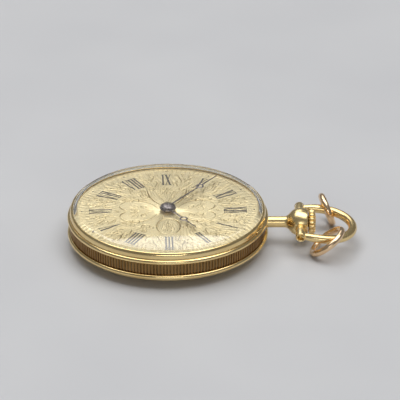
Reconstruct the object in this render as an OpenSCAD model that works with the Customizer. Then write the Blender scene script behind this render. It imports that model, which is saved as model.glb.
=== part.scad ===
// Open face pocket watch with a keyless wound lever movement, a hinged case, a bow and two jump rings.
// The case axis is Z and the dial faces +Z. XII and the pendant point to +X, and III points to -Y.
// Z = 0 is the flat middle of the back, on which the watch lies.

/* [Case] */
// Diameter of the case over its beads
case_d = 30.0; // [29.5:0.5:36]
// Height of the case from the flat back to the top of the bezel
case_h = 5.75; // [5.75:0.05:7.2]
// Radius of the round section of each bead
bead_r = 0.36; // [0.25:0.01:0.42]
// Depth of the reeded band below the beads
band_depth = 0.45; // [0.3:0.05:0.5]
// Thickness of the back cover
back_wall = 0.3; // [0.2:0.05:0.32]
// Thickness of the cuvette, the inner cover
cuvette_wall = 0.2; // [0.12:0.02:0.2]
// Diameter of the flat middle of the back
back_flat_d = 12.0; // [8:0.5:14]
// Width of the bezel's lip around the glass
bezel_lip = 0.2; // [0.18:0.01:0.26]
// Thickness of the glass
glass_t = 0.3; // [0.26:0.02:0.32]
// Height of the glass's shoulder over the bezel
glass_rise = 0.45; // [0.45:0.05:0.8]
// Further rise of the glass to its middle
glass_dome = 0.45; // [0.4:0.05:0.8]

/* [Pendant, crown and bow] */
// Diameter of the pendant's neck
neck_d = 1.68; // [1.5:0.02:1.9]
// Largest diameter of the pendant's cup
cup_d = 4.2; // [3.8:0.1:4.4]
// Distance of the bow's pivot from the case's edge
pivot_out = 4.75; // [4.6:0.05:5.4]
// Diameter of the crown over its flutes
crown_d = 3.74; // [3.2:0.02:3.9]
// Length of the crown
crown_l = 1.1; // [0.9:0.02:1.2]
// Number of flutes around the crown
crown_flutes = 17; // [14:1:20]
// How far the crown pulls out to set the hands
crown_travel = 0.6; // [0.4:0.05:0.7]
// Diameter of the bow's wire
bow_wire = 1.1; // [0.9:0.05:1.2]
// Radius of the bow's round end, to the middle of its wire
bow_r = 4.85; // [4.6:0.05:5.6]
// Angle by which the bow droops as the watch lies
bow_droop = 6.8; // [0:0.2:8]
// Diameter of the wire of both jump rings
ring_wire = 1.0; // [0.8:0.05:1.05]
// Outer diameter of the far jump ring
far_ring_d = 5.3; // [5.2:0.05:5.6]
// Outer diameter of the near jump ring
near_ring_d = 6.3; // [6.2:0.05:6.5]

/* [Dial and hands] */
// Thickness of the dial
dial_t = 0.35; // [0.25:0.01:0.35]
// Length of the minute hand from the centre
minute_l = 12.6; // [10:0.1:12.8]
// Length of the hour hand from the centre
hour_l = 7.5; // [6:0.1:8.5]
// Diameter of the ring in each hand
hand_ring_d = 1.25; // [1:0.05:1.4]
// Diameter of the hour hand's collar
hub_d = 2.4; // [1.8:0.05:2.5]
// Hour that the hands show
shown_hour = 1; // [0:1:11]
// Minute that the hands show
shown_minute = 51; // [0:1:59]

/* [Movement] */
// Diameter of the main plate
plate_d = 25.4; // [25.2:0.02:25.5]
// Distance from the centre wheel to the barrel
barrel_reach = 5.175; // [5.15:0.005:5.2]
// Radius of the balance to the outside of its rim
balance_r = 4.0; // [3.4:0.05:4.0]
// Radial clearance of a pivot in its jewel or hole
pivot_gap = 0.02; // [0.01:0.005:0.03]
// Radial clearance of a larger turning fit
turn_gap = 0.04; // [0.03:0.01:0.05]

/* [Hidden] */
$fn = 72;
eps = 0.02;

// Colours
gold = [0.87, 0.75, 0.49];
rose_gold = [0.88, 0.70, 0.52];
dial_gold = [0.86, 0.80, 0.66];
nickel = [0.78, 0.77, 0.74];
steel = [0.62, 0.63, 0.65];
blued = [0.20, 0.19, 0.22];
brass = [0.82, 0.68, 0.38];
ruby = [0.75, 0.12, 0.25];
glass = [0.85, 0.92, 0.95, 0.3];

// Heights, from the back to the glass
case_r = case_d / 2;
seam_gap = 0.03;
back_seam_z = 1.54;
middle_low_z = back_seam_z + 0.04;
low_bead_z = middle_low_z + bead_r - 0.04;
stem_z = 3.4;
middle_top_z = 4.80;
top_bead_z = middle_top_z - bead_r - 0.08;
bridge_low_z = 1.25;
bridge_top_z = 1.95;
plate_low_z = 2.95;
plate_top_z = 4.25;
dial_low_z = 4.75;
dial_top_z = dial_low_z + dial_t;
glass_top_z = case_h + glass_rise;

// Case radii
bead_ring_r = case_r - bead_r;
band_r = case_r - band_depth;
movement_room = 0.1;
case_bore_r = plate_d / 2 + movement_room;
dial_room = 0.06;
dial_r = case_r - 0.95;
dial_seat_r = dial_r + dial_room;
dial_turn = 1.7;
snap_r = case_r - 0.8;
snap_wall = 0.15;
snap_h = 0.28;
snap_gap = 0.05;
bezel_r = case_r - 0.36;
bezel_top_r = case_r - 0.6;
glass_r = bezel_top_r - bezel_lip;
glass_seat_z = case_h - 0.45;
glass_gap = 0.01;
back_r = case_r - 0.5;
flat_r = back_flat_d / 2;
cuvette_gap = 0.1;
cuvette_r = case_r - 1.65;

// Hinges on the side of IX
hinge_y = case_r + 0.04;
bezel_hinge_z = middle_top_z + seam_gap / 2;
back_hinge_z = 1.30;
knuckle_r = 0.36;
hinge_pin_r = 0.18;
hinge_gap = 0.03;
knuckle_l = 1.1;
knuckle_space = 0.05;

// Pendant, crown and bow
neck_r = neck_d / 2;
neck_root = case_r - 1.2;
pivot_x = case_r + pivot_out;
cup_r = cup_d / 2;
cup_mouth_x = pivot_x + 1.13;
crown_x = cup_mouth_x + 0.12;
crown_r = crown_d / 2;
flute_r = 0.27;
stem_r = 0.35;
stem_gap = 0.04;
knuckle_tube_r = 0.75;
bow_bore_r = 0.5;
bow_screw_r = 0.45;
bow_end_y = 5.1;
bow_in_y = cup_r + 0.12;
bow_centre_x = pivot_x + 3.2;
arm_bend_r = 10.2;
// A thicker wire narrows a ring's hole, so the ring moves away from the bow's wire by as much
ring_growth = ring_wire - 1.0;
far_ring_at = [pivot_x + 4.2, 5.6, stem_z - 0.85] + ring_growth * [0.28, -0.95, 0.16];
far_ring_tilt = 70.7;
far_ring_turn = 10.4;
near_ring_at = [pivot_x + 3.97, -3.93, stem_z - 1.245] + ring_growth * [0.89, -0.02, 0.46];
near_ring_tilt = 38.5;
near_ring_turn = 170.2;

// Plan of the movement: the wheels stand where their pitch circles touch
centre_at = [0, 0];
barrel_teeth = 78;
centre_leaves = 12;
centre_teeth = 80;
third_leaves = 10;
third_teeth = 75;
fourth_leaves = 10;
fourth_teeth = 80;
escape_leaves = 8;
barrel_module = 2 * barrel_reach / (barrel_teeth + centre_leaves);
centre_module = 0.1;
third_module = 0.085;
fourth_module = 0.075;
barrel_turn = 50;
barrel_at = barrel_reach * [cos(barrel_turn), sin(barrel_turn)];
third_reach = centre_module * (centre_teeth + third_leaves) / 2;
third_turn = 195;
third_at = third_reach * [cos(third_turn), sin(third_turn)];
fourth_reach = third_module * (third_teeth + fourth_leaves) / 2;
fourth_turn = 285;
fourth_at = third_at + fourth_reach * [cos(fourth_turn), sin(fourth_turn)];
escape_reach = fourth_module * (fourth_teeth + escape_leaves) / 2;
escape_turn = 300;
escape_at = fourth_at + escape_reach * [cos(escape_turn), sin(escape_turn)];
balance_reach = 8.2;
balance_turn = 296;
balance_at = balance_reach * [cos(balance_turn), sin(balance_turn)];
lever_line = balance_at - escape_at;
lever_turn = atan2(lever_line[1], lever_line[0]);
pallet_reach = 2.3;
pallet_at = escape_at + pallet_reach * [cos(lever_turn), sin(lever_turn)];
fork_reach = norm(lever_line) - pallet_reach;

// Keyless work
crown_wheel_x = 8.6;
crown_wheel_at = [crown_wheel_x, 0];
ratchet_teeth = 40;
crown_teeth = 26;
ratchet_line = barrel_at - crown_wheel_at;
winding_module = 2 * norm(ratchet_line) / (ratchet_teeth + crown_teeth);
contrate_teeth = 16;
pinion_teeth = 12;
contrate_r = 1.5;
pinion_pitch_r = contrate_r * pinion_teeth / contrate_teeth;
pinion_x = crown_wheel_x + contrate_r;
pinion_l = 0.4;
clutch_l = 0.9;
clutch_r = 1.0;
square_side = 0.46;

// Motion work under the dial
cannon_leaves = 12;
minute_teeth = 36;
minute_leaves = 10;
hour_teeth = 40;
motion_module = 0.11;
minute_reach = motion_module * (cannon_leaves + minute_teeth) / 2;
hour_module = 2 * minute_reach / (minute_leaves + hour_teeth);
minute_turn = 20;
minute_at = minute_reach * [cos(minute_turn), sin(minute_turn)];
setting_teeth = 38;
setting_reach = motion_module * (minute_teeth + setting_teeth) / 2;
setting_turn = minute_turn - 1.5 * 360 / minute_teeth;
setting_at = minute_at + setting_reach * [cos(setting_turn), sin(setting_turn)];

// Hands
minute_angle = -6 * shown_minute;
hour_angle = -30 * (shown_hour + shown_minute / 60);
hour_hand_z = dial_top_z + 0.42;
minute_hand_z = hour_hand_z + 0.28;
hand_t = 0.1;
hand_w = 0.28;
hour_ring_at = 4.2;
minute_ring_at = 8.1;

// Points of a toothed wheel. The teeth narrow from a share root_w of the pitch to a share tip_w.
function tooth_points(n, root, tip, root_w, tip_w) =
    [for (i = [0:n - 1]) for (p = [[-root_w, root], [-tip_w, tip], [tip_w, tip], [root_w, root]])
        let (a = 360 / n * (i + p[0] / 2)) p[1] * [cos(a), sin(a)]];

// Points of a flat spiral of the given turns, from radius r0 to r1, and w wide
function spiral_edge(r0, r1, turns, shift, steps) =
    [for (i = [0:turns * steps])
        let (a = 360 * i / steps, r = r0 + (r1 - r0) * i / (turns * steps) + shift) r * [cos(a), sin(a)]];
function reversed(v) = [for (i = [len(v) - 1:-1:0]) v[i]];

// A wheel's toothed outline, with a gap or a tooth on the line towards its mate
module toothed(n, m, turn, gap_there = false, pinion = false) {
    tip = m * n / 2 + 0.8 * m;
    root = m * n / 2 - 1.05 * m;
    rotate(turn + (gap_there ? 180 / n : 0))
        polygon(tooth_points(n, root, tip, pinion ? 0.46 : 0.56, pinion ? 0.16 : 0.16));
}

// A train wheel with four crossings cut through its web
module crossed_wheel(n, m, thick, turn, bore) {
    rim = m * n / 2 - 2.4 * m;
    hub = bore + 0.45;
    linear_extrude(thick)
        difference() {
            toothed(n, m, turn);
            circle(bore);
            for (q = [0:3]) rotate(90 * q + 45) wheel_window(rim, hub);
        }
}
module wheel_window(rim, hub) {
    spoke = 0.3;
    intersection() {
        difference() {
            circle(rim);
            circle(hub);
        }
        translate([spoke / 2, spoke / 2]) square(rim);
    }
}

// An arbor on Z from z0 to z1, with a pivot at each end and a toothed pinion between
module arbor(z0, z1, body_r, pivot_r, pivot_l) {
    translate([0, 0, z0]) cylinder(r = pivot_r, h = z1 - z0);
    translate([0, 0, z0 + pivot_l]) cylinder(r = body_r, h = z1 - z0 - 2 * pivot_l);
}
module leaves(n, m, thick, turn) {
    linear_extrude(thick) toothed(n, m, turn, true, true);
}
// A slotted screw with its head down at z, of the given head and thread
module slotted_screw(head_r, head_h, thread_r, l) {
    slot_w = 0.16;
    slot_h = 0.12;
    difference() {
        union() {
            cylinder(r = head_r, h = head_h);
            cylinder(r = thread_r, h = l);
        }
        translate([-head_r, -slot_w / 2, -slot_h]) cube([2 * head_r, slot_w, 2 * slot_h]);
    }
}

// Case

// Ring of the case between the two covers, with beads above and below a recessed band
module case_middle() {
    color(gold)
        difference() {
            union() {
                rotate_extrude() middle_profile();
                case_knuckles(bezel_hinge_z, [-2, 0, 2], 1);
                case_knuckles(back_hinge_z, [-2, 2], -1);
            }
            at_stem(neck_root) cylinder(r = neck_r, h = 4);
            at_stem(case_bore_r - 1) cylinder(r = stem_r + 0.15, h = neck_root - case_bore_r + 1 + eps);
            hinge_clearance(bezel_hinge_z, [-1, 1]);
            hinge_clearance(back_hinge_z, [-1, 0, 1]);
            along_hinge(bezel_hinge_z) cylinder(r = hinge_pin_r, h = 12, center = true);
            along_hinge(back_hinge_z) cylinder(r = hinge_pin_r, h = 12, center = true);
            for (s = [-1, 1]) translate([0, s * case_bore_r, plate_low_z - 0.45])
                cylinder(r = 0.62, h = 0.47);
        }
}
module middle_profile() {
    difference() {
        translate([case_bore_r, middle_low_z])
            square([bead_ring_r - case_bore_r, middle_top_z - middle_low_z]);
        translate([case_bore_r - 1, dial_low_z]) square([dial_seat_r - case_bore_r + 1, 1]);
        translate([band_r, low_bead_z]) square([1, top_bead_z - low_bead_z]);
        translate([case_bore_r - 1, middle_low_z - 1])
            square([cuvette_r + cuvette_gap - case_bore_r + 1, 1.3]);
    }
    translate([snap_r, middle_top_z - 0.2]) square([snap_wall, 0.2 + snap_h]);
    for (z = [low_bead_z, top_bead_z]) translate([bead_ring_r, z]) circle(bead_r, $fn = 48);
}
// Turns a shape on Z so that it lies along +X on the stem's line, from x
module at_stem(x) {
    translate([x, 0, stem_z]) rotate([0, 90, 0]) children();
}
module along_hinge(z) {
    translate([0, hinge_y, z]) rotate([0, 90, 0]) children();
}
// Knuckles at the given places along a hinge, with a web down or up to the piece that carries them
module knuckle(z, place, web_r, web_z, web_h) {
    l = knuckle_l - knuckle_space;
    translate([place * knuckle_l, 0, 0]) {
        along_hinge(z) cylinder(r = knuckle_r, h = l, center = true);
        translate([-l / 2, web_r, web_z]) cube([l, hinge_y - web_r, web_h]);
    }
}
module case_knuckles(z, places, side) {
    web_h = knuckle_r - seam_gap;
    for (p = places)
        knuckle(z, p, band_r - 0.3, side > 0 ? z - knuckle_r : middle_low_z, side > 0 ? web_h : 0.16);
}
module hinge_clearance(z, places) {
    for (p = places) translate([p * knuckle_l, 0, 0])
        along_hinge(z)
            cylinder(r = knuckle_r + hinge_gap, h = knuckle_l + knuckle_space - 0.02, center = true);
}

// Bezel that holds the glass
module bezel() {
    color(gold)
        difference() {
            union() {
                rotate_extrude() bezel_profile();
                for (p = [-1, 1])
                    knuckle(bezel_hinge_z, p, bezel_r - 0.25, bezel_hinge_z + seam_gap / 2,
                        knuckle_r - seam_gap);
                rotate(-23) translate([bezel_r - 0.1, -0.8, middle_top_z + seam_gap]) cube([0.32, 1.6, 0.2]);
            }
            hinge_clearance(bezel_hinge_z, [-2, 0, 2]);
            along_hinge(bezel_hinge_z) cylinder(r = hinge_pin_r + hinge_gap / 2, h = 12, center = true);
        }
}
module bezel_profile() {
    low = middle_top_z + seam_gap;
    difference() {
        polygon([[dial_r - 0.3, low], [bezel_r, low], [bezel_r, low + 0.3], [bezel_r - 0.06, case_h - 0.4],
            [bezel_top_r, case_h], [dial_r - 0.3, case_h]]);
        translate([dial_r - 1, low - 1])
            square([snap_r + snap_wall + snap_gap - dial_r + 1, 1 + snap_h + snap_gap]);
        translate([0, glass_seat_z]) square([glass_r, 2]);
        square([dial_r - 0.15, 20]);
    }
}

// Watch glass: a low dome, a rounded shoulder and an upright edge
module crystal() {
    shoulder = glass_rise + 0.15;
    color(glass)
        rotate_extrude() difference() {
            glass_outline(glass_r - glass_gap, glass_top_z, shoulder);
            translate([0, -glass_t])
                glass_outline(glass_r - glass_gap - glass_t, glass_top_z, shoulder - 0.1);
        }
}
module glass_outline(r, top, shoulder) {
    base = glass_seat_z + glass_gap;
    middle = r - shoulder;
    dome_r = (middle * middle + glass_dome * glass_dome) / (2 * glass_dome);
    intersection() {
        union() {
            intersection() {
                square([middle, top + glass_dome]);
                translate([0, top + glass_dome - dome_r]) circle(dome_r, $fn = 1440);
            }
            translate([middle, top - shoulder]) circle(shoulder);
            square([r, top - shoulder]);
        }
        translate([0, base]) square([r, top]);
    }
}

// Back cover, a shallow dish with a flat middle
module back_cover() {
    color(gold)
        difference() {
            union() {
                rotate_extrude() dish(back_r, back_wall, 0);
                for (p = [-1, 1]) knuckle(back_hinge_z, p, back_r - 0.5, back_hinge_z - 0.2, 0.36);
                rotate(-23) translate([back_r - 0.15, -0.8, back_seam_z - 0.22]) cube([0.4, 1.6, 0.2]);
            }
            hinge_clearance(back_hinge_z, [-2, 0, 2]);
            translate([-knuckle_l / 2, cuvette_r - 0.1, back_seam_z - 0.5]) cube([knuckle_l, 3, 1]);
            along_hinge(back_hinge_z) cylinder(r = hinge_pin_r + hinge_gap / 2, h = 12, center = true);
        }
}
// Section of a dish whose underside is flat to flat_r and then rises on an arc to the seam
module dish(r, wall, lift) {
    run = back_r - flat_r;
    rise = back_seam_z - 0.25;
    bend = (run * run + rise * rise) / (2 * rise);
    intersection() {
        translate([0, lift]) square([r, back_seam_z]);
        union() {
            translate([0, lift]) square([flat_r, wall]);
            difference() {
                translate([flat_r, bend + lift]) circle(bend, $fn = 360);
                translate([flat_r, bend + lift + wall]) circle(bend, $fn = 360);
                translate([-bend, lift - 1]) square([bend + flat_r, 2 * bend + 2]);
            }
            if (lift == 0) translate([r - 0.35, rise - 0.05]) square([0.35, back_seam_z - rise + 0.05]);
        }
        translate([0, lift]) square([r, back_seam_z - lift]);
    }
}

// Cuvette, the hinged inner cover over the movement
module cuvette() {
    lift = back_wall + cuvette_gap;
    color(gold)
        difference() {
            union() {
                rotate_extrude() intersection() {
                    dish(cuvette_r, cuvette_wall, lift);
                    square([cuvette_r, 20]);
                }
                knuckle(back_hinge_z, 0, cuvette_r - 0.5, back_hinge_z + 0.02, 0.18);
            }
            hinge_clearance(back_hinge_z, [-1, 1]);
            along_hinge(back_hinge_z) cylinder(r = hinge_pin_r + hinge_gap / 2, h = 12, center = true);
        }
}
module bezel_hinge_pin() {
    color(gold) along_hinge(bezel_hinge_z) cylinder(r = hinge_pin_r, h = 5 * knuckle_l - 0.1, center = true);
}
module back_hinge_pin() {
    color(gold) along_hinge(back_hinge_z) cylinder(r = hinge_pin_r, h = 5 * knuckle_l - 0.1, center = true);
}

// Pendant: a neck that widens to a round cup
module pendant() {
    color(gold)
        difference() {
            translate([0, 0, stem_z]) rotate([0, 90, 0]) rotate_extrude() pendant_profile();
            for (s = [-1, 1]) screw_line(s) cylinder(r = bow_screw_r, h = 4);
        }
}
// Distance from the axis to the right, distance along it upwards
module pendant_profile() {
    cup_x = cup_mouth_x - 3.45;
    difference() {
        polygon(concat(
            [[stem_r + stem_gap, neck_root], [neck_r, neck_root], [neck_r, cup_x],
                [neck_r + 0.18, cup_x + 0.3]],
            [for (t = [0:6]) let (a = t * 12) [neck_r + 0.18 + (cup_r - neck_r - 0.18) * sin(a + 18 * t / 6),
                cup_x + 0.3 + 2.0 * (1 - cos(a + 18 * t / 6))]],
            [[cup_r - 0.06, cup_mouth_x - 0.6], [cup_r - 0.28, cup_mouth_x], [0.9, cup_mouth_x],
                [0.9, cup_mouth_x - 2.1], [stem_r + stem_gap, cup_mouth_x - 2.1]]));
        translate([0, cup_mouth_x - 2.1]) square([cup_r - 0.6, 2.2]);
    }
}
// Moves a shape on Z to the bow screws' line, pointing outwards from the cup's wall
module screw_line(s) {
    translate([pivot_x, 0, stem_z]) rotate([-90 * s, 0, 0]) translate([0, 0, cup_r - 0.55]) children();
}

// Crown: a fluted knob on the end of the stem
module crown() {
    core_r = crown_r - flute_r * 0.75;
    ridge_at = crown_r - flute_r;
    color(gold)
        difference() {
            union() {
                at_stem(crown_x) cylinder(r = core_r, h = crown_l - 0.12);
                at_stem(crown_x + crown_l - 0.12) cylinder(r1 = core_r, r2 = core_r - 0.25, h = 0.12);
                for (i = [0:crown_flutes - 1])
                    at_stem(crown_x + 0.02) rotate(360 / crown_flutes * i) translate([ridge_at, 0, 0])
                        cylinder(r = flute_r, h = crown_l - 0.14);
                at_stem(cup_mouth_x - 0.9) cylinder(r = 0.8, h = crown_x - cup_mouth_x + 0.9 + eps);
            }
            at_stem(cup_mouth_x - 1) cylinder(r = stem_r, h = crown_x - cup_mouth_x + 1.22);
        }
}

// Bow: a round wire loop that ends in two bored knuckles
module bow() {
    color(gold)
        translate([pivot_x, 0, stem_z]) rotate([0, bow_droop, 0]) translate([-pivot_x, 0, -stem_z])
            difference() {
                union() {
                    translate([bow_centre_x, 0, stem_z]) rotate(-90) ring_arc(bow_r, 180);
                    for (s = [0, 1]) mirror([0, s, 0]) {
                        translate([bow_centre_x, bow_r - arm_bend_r, stem_z]) rotate(90)
                            ring_arc(arm_bend_r, arm_angle());
                        translate([pivot_x, bow_in_y, stem_z]) rotate([-90, 0, 0])
                            cylinder(r = knuckle_tube_r, h = bow_end_y - bow_in_y);
                    }
                }
                for (s = [0, 1]) mirror([0, s, 0])
                    translate([pivot_x, bow_in_y - 1, stem_z]) rotate([-90, 0, 0])
                        cylinder(r = bow_bore_r, h = bow_end_y + 2);
            }
}
module ring_arc(r, angle) {
    rotate_extrude(angle = angle, $fn = 96) translate([r, 0]) circle(bow_wire / 2, $fn = 32);
}
function arm_angle() = asin((bow_centre_x - pivot_x - 0.2) / arm_bend_r);

// The two screws on which the bow turns
module bow_screws() {
    color(gold)
        for (s = [-1, 1]) screw_line(s) {
            difference() {
                cylinder(r = bow_screw_r, h = bow_end_y - cup_r - 0.15);
                translate([-1, -0.08, bow_end_y - cup_r - 0.3]) cube([2, 0.16, 1]);
            }
        }
}

// Jump rings that hang on the bow's arms
module jump_ring(d, at, tilt, turn) {
    translate(at) rotate([0, tilt, turn])
        rotate_extrude($fn = 96) translate([(d - ring_wire) / 2, 0]) circle(ring_wire / 2, $fn = 32);
}
module jump_ring_far() {
    color(rose_gold) jump_ring(far_ring_d, far_ring_at, far_ring_tilt, far_ring_turn);
}
module jump_ring_near() {
    color(rose_gold) jump_ring(near_ring_d, near_ring_at, near_ring_tilt, near_ring_turn);
}

// Dial and hands

// Dial with a dot at each hour and two feet for its screws
module dial() {
    color(dial_gold) {
        difference() {
            union() {
                translate([0, 0, dial_low_z]) cylinder(r = dial_r, h = dial_t);
                for (i = [0:11]) rotate(30 * i + dial_turn) translate([dial_r - 1.18, 0, dial_top_z - eps])
                    cylinder(r = 0.13, h = eps + 0.02);
                for (a = dial_feet) rotate(a) translate([foot_reach, 0, dial_low_z - foot_l])
                    cylinder(r = foot_r, h = foot_l + eps);
            }
            translate([0, 0, dial_low_z - 1]) cylinder(r = hour_pipe_r + 0.12, h = 3);
        }
    }
}
dial_feet = [120, 250];
foot_reach = 10.6;
foot_r = 0.3;
foot_l = 1.3;
cannon_r = 0.36;
hour_pipe_gap = 0.03;
hour_pipe_r = cannon_r + hour_pipe_gap + 0.16;

// Screws in the plate's edge that grip the dial's feet
module dial_screws() {
    color(steel)
        for (a = dial_feet) rotate(a)
            translate([foot_reach + foot_r + 0.02, 0, plate_low_z + 0.75]) rotate([0, 90, 0])
                cylinder(r = 0.25, h = plate_d / 2 - foot_reach - foot_r - 0.1);
}

// Outline of a hand that points along +X, with a ring and a thin tip
module hand_outline(l, ring_at) {
    hole_r = hand_ring_d / 2 - 0.27;
    difference() {
        union() {
            polygon([[0, hand_w / 2], [ring_at, hand_w / 2 - 0.03], [ring_at, -hand_w / 2 + 0.03],
                [0, -hand_w / 2]]);
            translate([ring_at, 0]) circle(hand_ring_d / 2);
            polygon([[ring_at, hand_w / 2], [l, 0.06], [l, -0.06], [ring_at, -hand_w / 2]]);
        }
        translate([ring_at, 0]) circle(hole_r);
    }
}
module hour_hand() {
    color(blued) rotate(hour_angle) translate([0, 0, hour_hand_z])
        difference() {
            union() {
                linear_extrude(hand_t) hand_outline(hour_l, hour_ring_at);
                cylinder(r = hub_d / 2, h = 0.2);
            }
            translate([0, 0, -1]) cylinder(r = hour_pipe_r, h = 3);
        }
}
module minute_hand() {
    dome_r = hub_d / 2 - 0.1;
    dome_h = 0.42;
    color(blued) rotate(minute_angle) translate([0, 0, minute_hand_z])
        difference() {
            union() {
                linear_extrude(hand_t) hand_outline(minute_l, minute_ring_at);
                cylinder(r = dome_r, h = 0.12);
                translate([0, 0, 0.12]) cylinder(r1 = dome_r - 0.05, r2 = dome_r - 0.4, h = dome_h - 0.12);
            }
            translate([0, 0, -1]) cylinder(r = cannon_r, h = 1.15);
        }
}

// Movement: plates

pivot_r = 0.1;
jewel_r = 0.42;
jewel_h = 0.3;
post_r = 0.62;
barrel_posts = [[9.3, 3.7], [-2.9, 8.4], [-6.7, 3.9]];
train_posts = [[-8.9, -1.6], [-5.3, -8.9]];
cock_post = [8.7, -4.7];
pallet_post_reach = 2.0;
pallet_posts = [pallet_at + pallet_post_reach * [cos(lever_turn + 90), sin(lever_turn + 90)],
    pallet_at - pallet_post_reach * [cos(lever_turn + 90), sin(lever_turn + 90)]];
screw_head_r = 0.5;
screw_head_h = 0.3;
screw_thread_r = 0.25;
screw_l = 2.3;
bridge_r = 11.0;
jeweled = [third_at, fourth_at, escape_at];

module at_point(p, z) {
    translate([p[0], p[1], z]) children();
}

// Main plate: it carries every post, the stem's tunnel and the recess for the winding wheels
module main_plate() {
    color(nickel)
        difference() {
            union() {
                translate([0, 0, plate_low_z]) cylinder(r = plate_d / 2, h = plate_top_z - plate_low_z);
                at_point(crown_wheel_at, plate_low_z - 1.1) cylinder(r = 0.5, h = 1.1 + eps);
                at_point(minute_at, plate_top_z - eps) cylinder(r = 0.2, h = 0.45);
                at_point(setting_at, plate_top_z - eps) cylinder(r = 0.2, h = 0.3);
            }
            at_stem(crown_wheel_x - 2.2) cylinder(r = stem_r + stem_gap, h = 8);
            translate([pinion_x - pinion_l / 2 - clutch_l - 0.75, -clutch_r - 0.4, plate_low_z - 1])
                cube([pinion_l + clutch_l + 1.0, 2 * clutch_r + 0.8, 3]);
            for (a = dial_feet) rotate(a) {
                translate([foot_reach, 0, plate_top_z - foot_l]) cylinder(r = foot_r + 0.03, h = 3);
                translate([foot_reach, 0, plate_low_z + 0.75]) rotate([0, 90, 0]) cylinder(r = 0.25, h = 4);
            }
            for (p = concat(barrel_posts, train_posts, [cock_post]))
                at_point(p, plate_low_z - 1) cylinder(r = screw_thread_r, h = 1.8);
            for (p = pallet_posts) at_point(p, plate_low_z - 1) cylinder(r = 0.18, h = 1.8);
            for (p = [third_at, fourth_at, escape_at, pallet_at, balance_at])
                at_point(p, plate_low_z - 1) cylinder(r = jewel_r, h = 1 + jewel_h);
            at_point(barrel_at, plate_low_z - 1) cylinder(r = 0.5 + turn_gap, h = 3);
            translate([0, 0, plate_low_z - 1]) cylinder(r = 0.3 + turn_gap, h = 3);
            for (s = [-1, 1]) translate([0, s * case_screw_y, plate_low_z - 1])
                cylinder(r = screw_thread_r, h = 2);
            translate([groove_x - 0.2, -0.25, stem_z]) cube([crown_travel + 0.4, 0.7, 2]);
            at_point(setting_lever_at, plate_top_z - 0.8) cylinder(r = 0.22, h = 2);
            at_point(yoke_at, plate_top_z - 0.8) cylinder(r = 0.22, h = 2);
            at_point(crown_wheel_at, plate_low_z - 2) cylinder(r = 0.2, h = 2.5);
        }
}
case_screw_y = plate_d / 2 - 0.45;

// A bridge plate cut from the movement's circle, with legs under its screws
module bridge_plate(points, posts) {
    difference() {
        union() {
            intersection() {
                translate([0, 0, bridge_low_z]) cylinder(r = bridge_r, h = bridge_top_z - bridge_low_z);
                translate([0, 0, bridge_low_z]) linear_extrude(bridge_top_z - bridge_low_z) polygon(points);
            }
            for (p = posts) at_point(p, bridge_low_z) cylinder(r = post_r, h = plate_low_z - bridge_low_z);
        }
        for (p = posts) at_point(p, bridge_low_z) {
            translate([0, 0, -1]) cylinder(r = screw_thread_r + 0.03, h = 4);
            translate([0, 0, -1]) cylinder(r = screw_head_r + 0.05, h = 1 + screw_head_h);
        }
        at_point(balance_at, bridge_low_z - 1) cylinder(r = balance_r + 0.2, h = 3);
    }
}
wheel_recess = 0.34;
ratchet_r = winding_module * (ratchet_teeth + 1.6) / 2 + 0.08;
crown_wheel_r = winding_module * (crown_teeth + 1.6) / 2 + 0.08;
click_side = 115;
click_at = barrel_at + (ratchet_r + 0.75) * [cos(click_side), sin(click_side)];
module barrel_bridge() {
    color(nickel)
        difference() {
            bridge_plate([[-9.5, 1.6], [-1.4, 1.6], [-1.1, -1.3], [4.5, -1.3], [5.6, -3.3], [12, -3.3],
                [12, 12],
                [-9.5, 12]], barrel_posts);
            at_point(barrel_at, bridge_low_z - 1) cylinder(r = ratchet_r, h = 1 + wheel_recess);
            at_point(crown_wheel_at, bridge_low_z - 1) cylinder(r = crown_wheel_r, h = 1 + wheel_recess);
            at_point(crown_wheel_at, bridge_low_z - 1) cylinder(r = contrate_r + 0.35, h = 3);
            at_point(barrel_at, bridge_low_z - 1) cylinder(r = 0.5 + turn_gap, h = 3);
            at_point(click_at, bridge_low_z - 1) {
                cylinder(r = 0.2, h = 3);
                cylinder(r = 1.05, h = 1 + wheel_recess);
            }
            translate([0, 0, bridge_low_z - 1]) cylinder(r = jewel_r, h = 3);
            cock_relief();
        }
}
module cock_relief() {
    at_point(cock_post, bridge_low_z - 1) cylinder(r = 1.15, h = 3);
}
module train_bridge() {
    color(nickel)
        difference() {
            bridge_plate([[-12, 1.3], [-1.7, 1.3], [-1.4, -3.6], [0.3, -12], [-12, -12]], train_posts);
            for (p = jeweled) at_point(p, bridge_low_z - 1) cylinder(r = jewel_r, h = 3);
        }
}
cock_low_z = bridge_low_z;
cock_top_z = 1.62;
module balance_cock() {
    arm = cock_post - balance_at;
    color(nickel)
        difference() {
            union() {
                at_point(balance_at, cock_low_z) cylinder(r = 1.3, h = cock_top_z - cock_low_z);
                at_point(balance_at, cock_low_z) rotate(atan2(arm[1], arm[0])) translate([0, -0.75, 0])
                    cube([norm(arm), 1.5, cock_top_z - cock_low_z]);
                at_point(cock_post, cock_low_z) cylinder(r = 1.0, h = plate_low_z - cock_low_z);
            }
            at_point(balance_at, cock_low_z - 1) cylinder(r = jewel_r, h = 3);
            at_point(cock_post, cock_low_z - 1) cylinder(r = screw_thread_r + 0.03, h = 4);
            at_point(cock_post, cock_low_z - 1) cylinder(r = screw_head_r + 0.05, h = 1 + screw_head_h);
            at_point(balance_at, cock_low_z - 1) cylinder(r = regulator_bore_r, h = 1 + 0.2);
        }
}
regulator_bore_r = 0.9;
pallet_bridge_z = 2.20;
pallet_bridge_t = 0.18;
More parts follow.
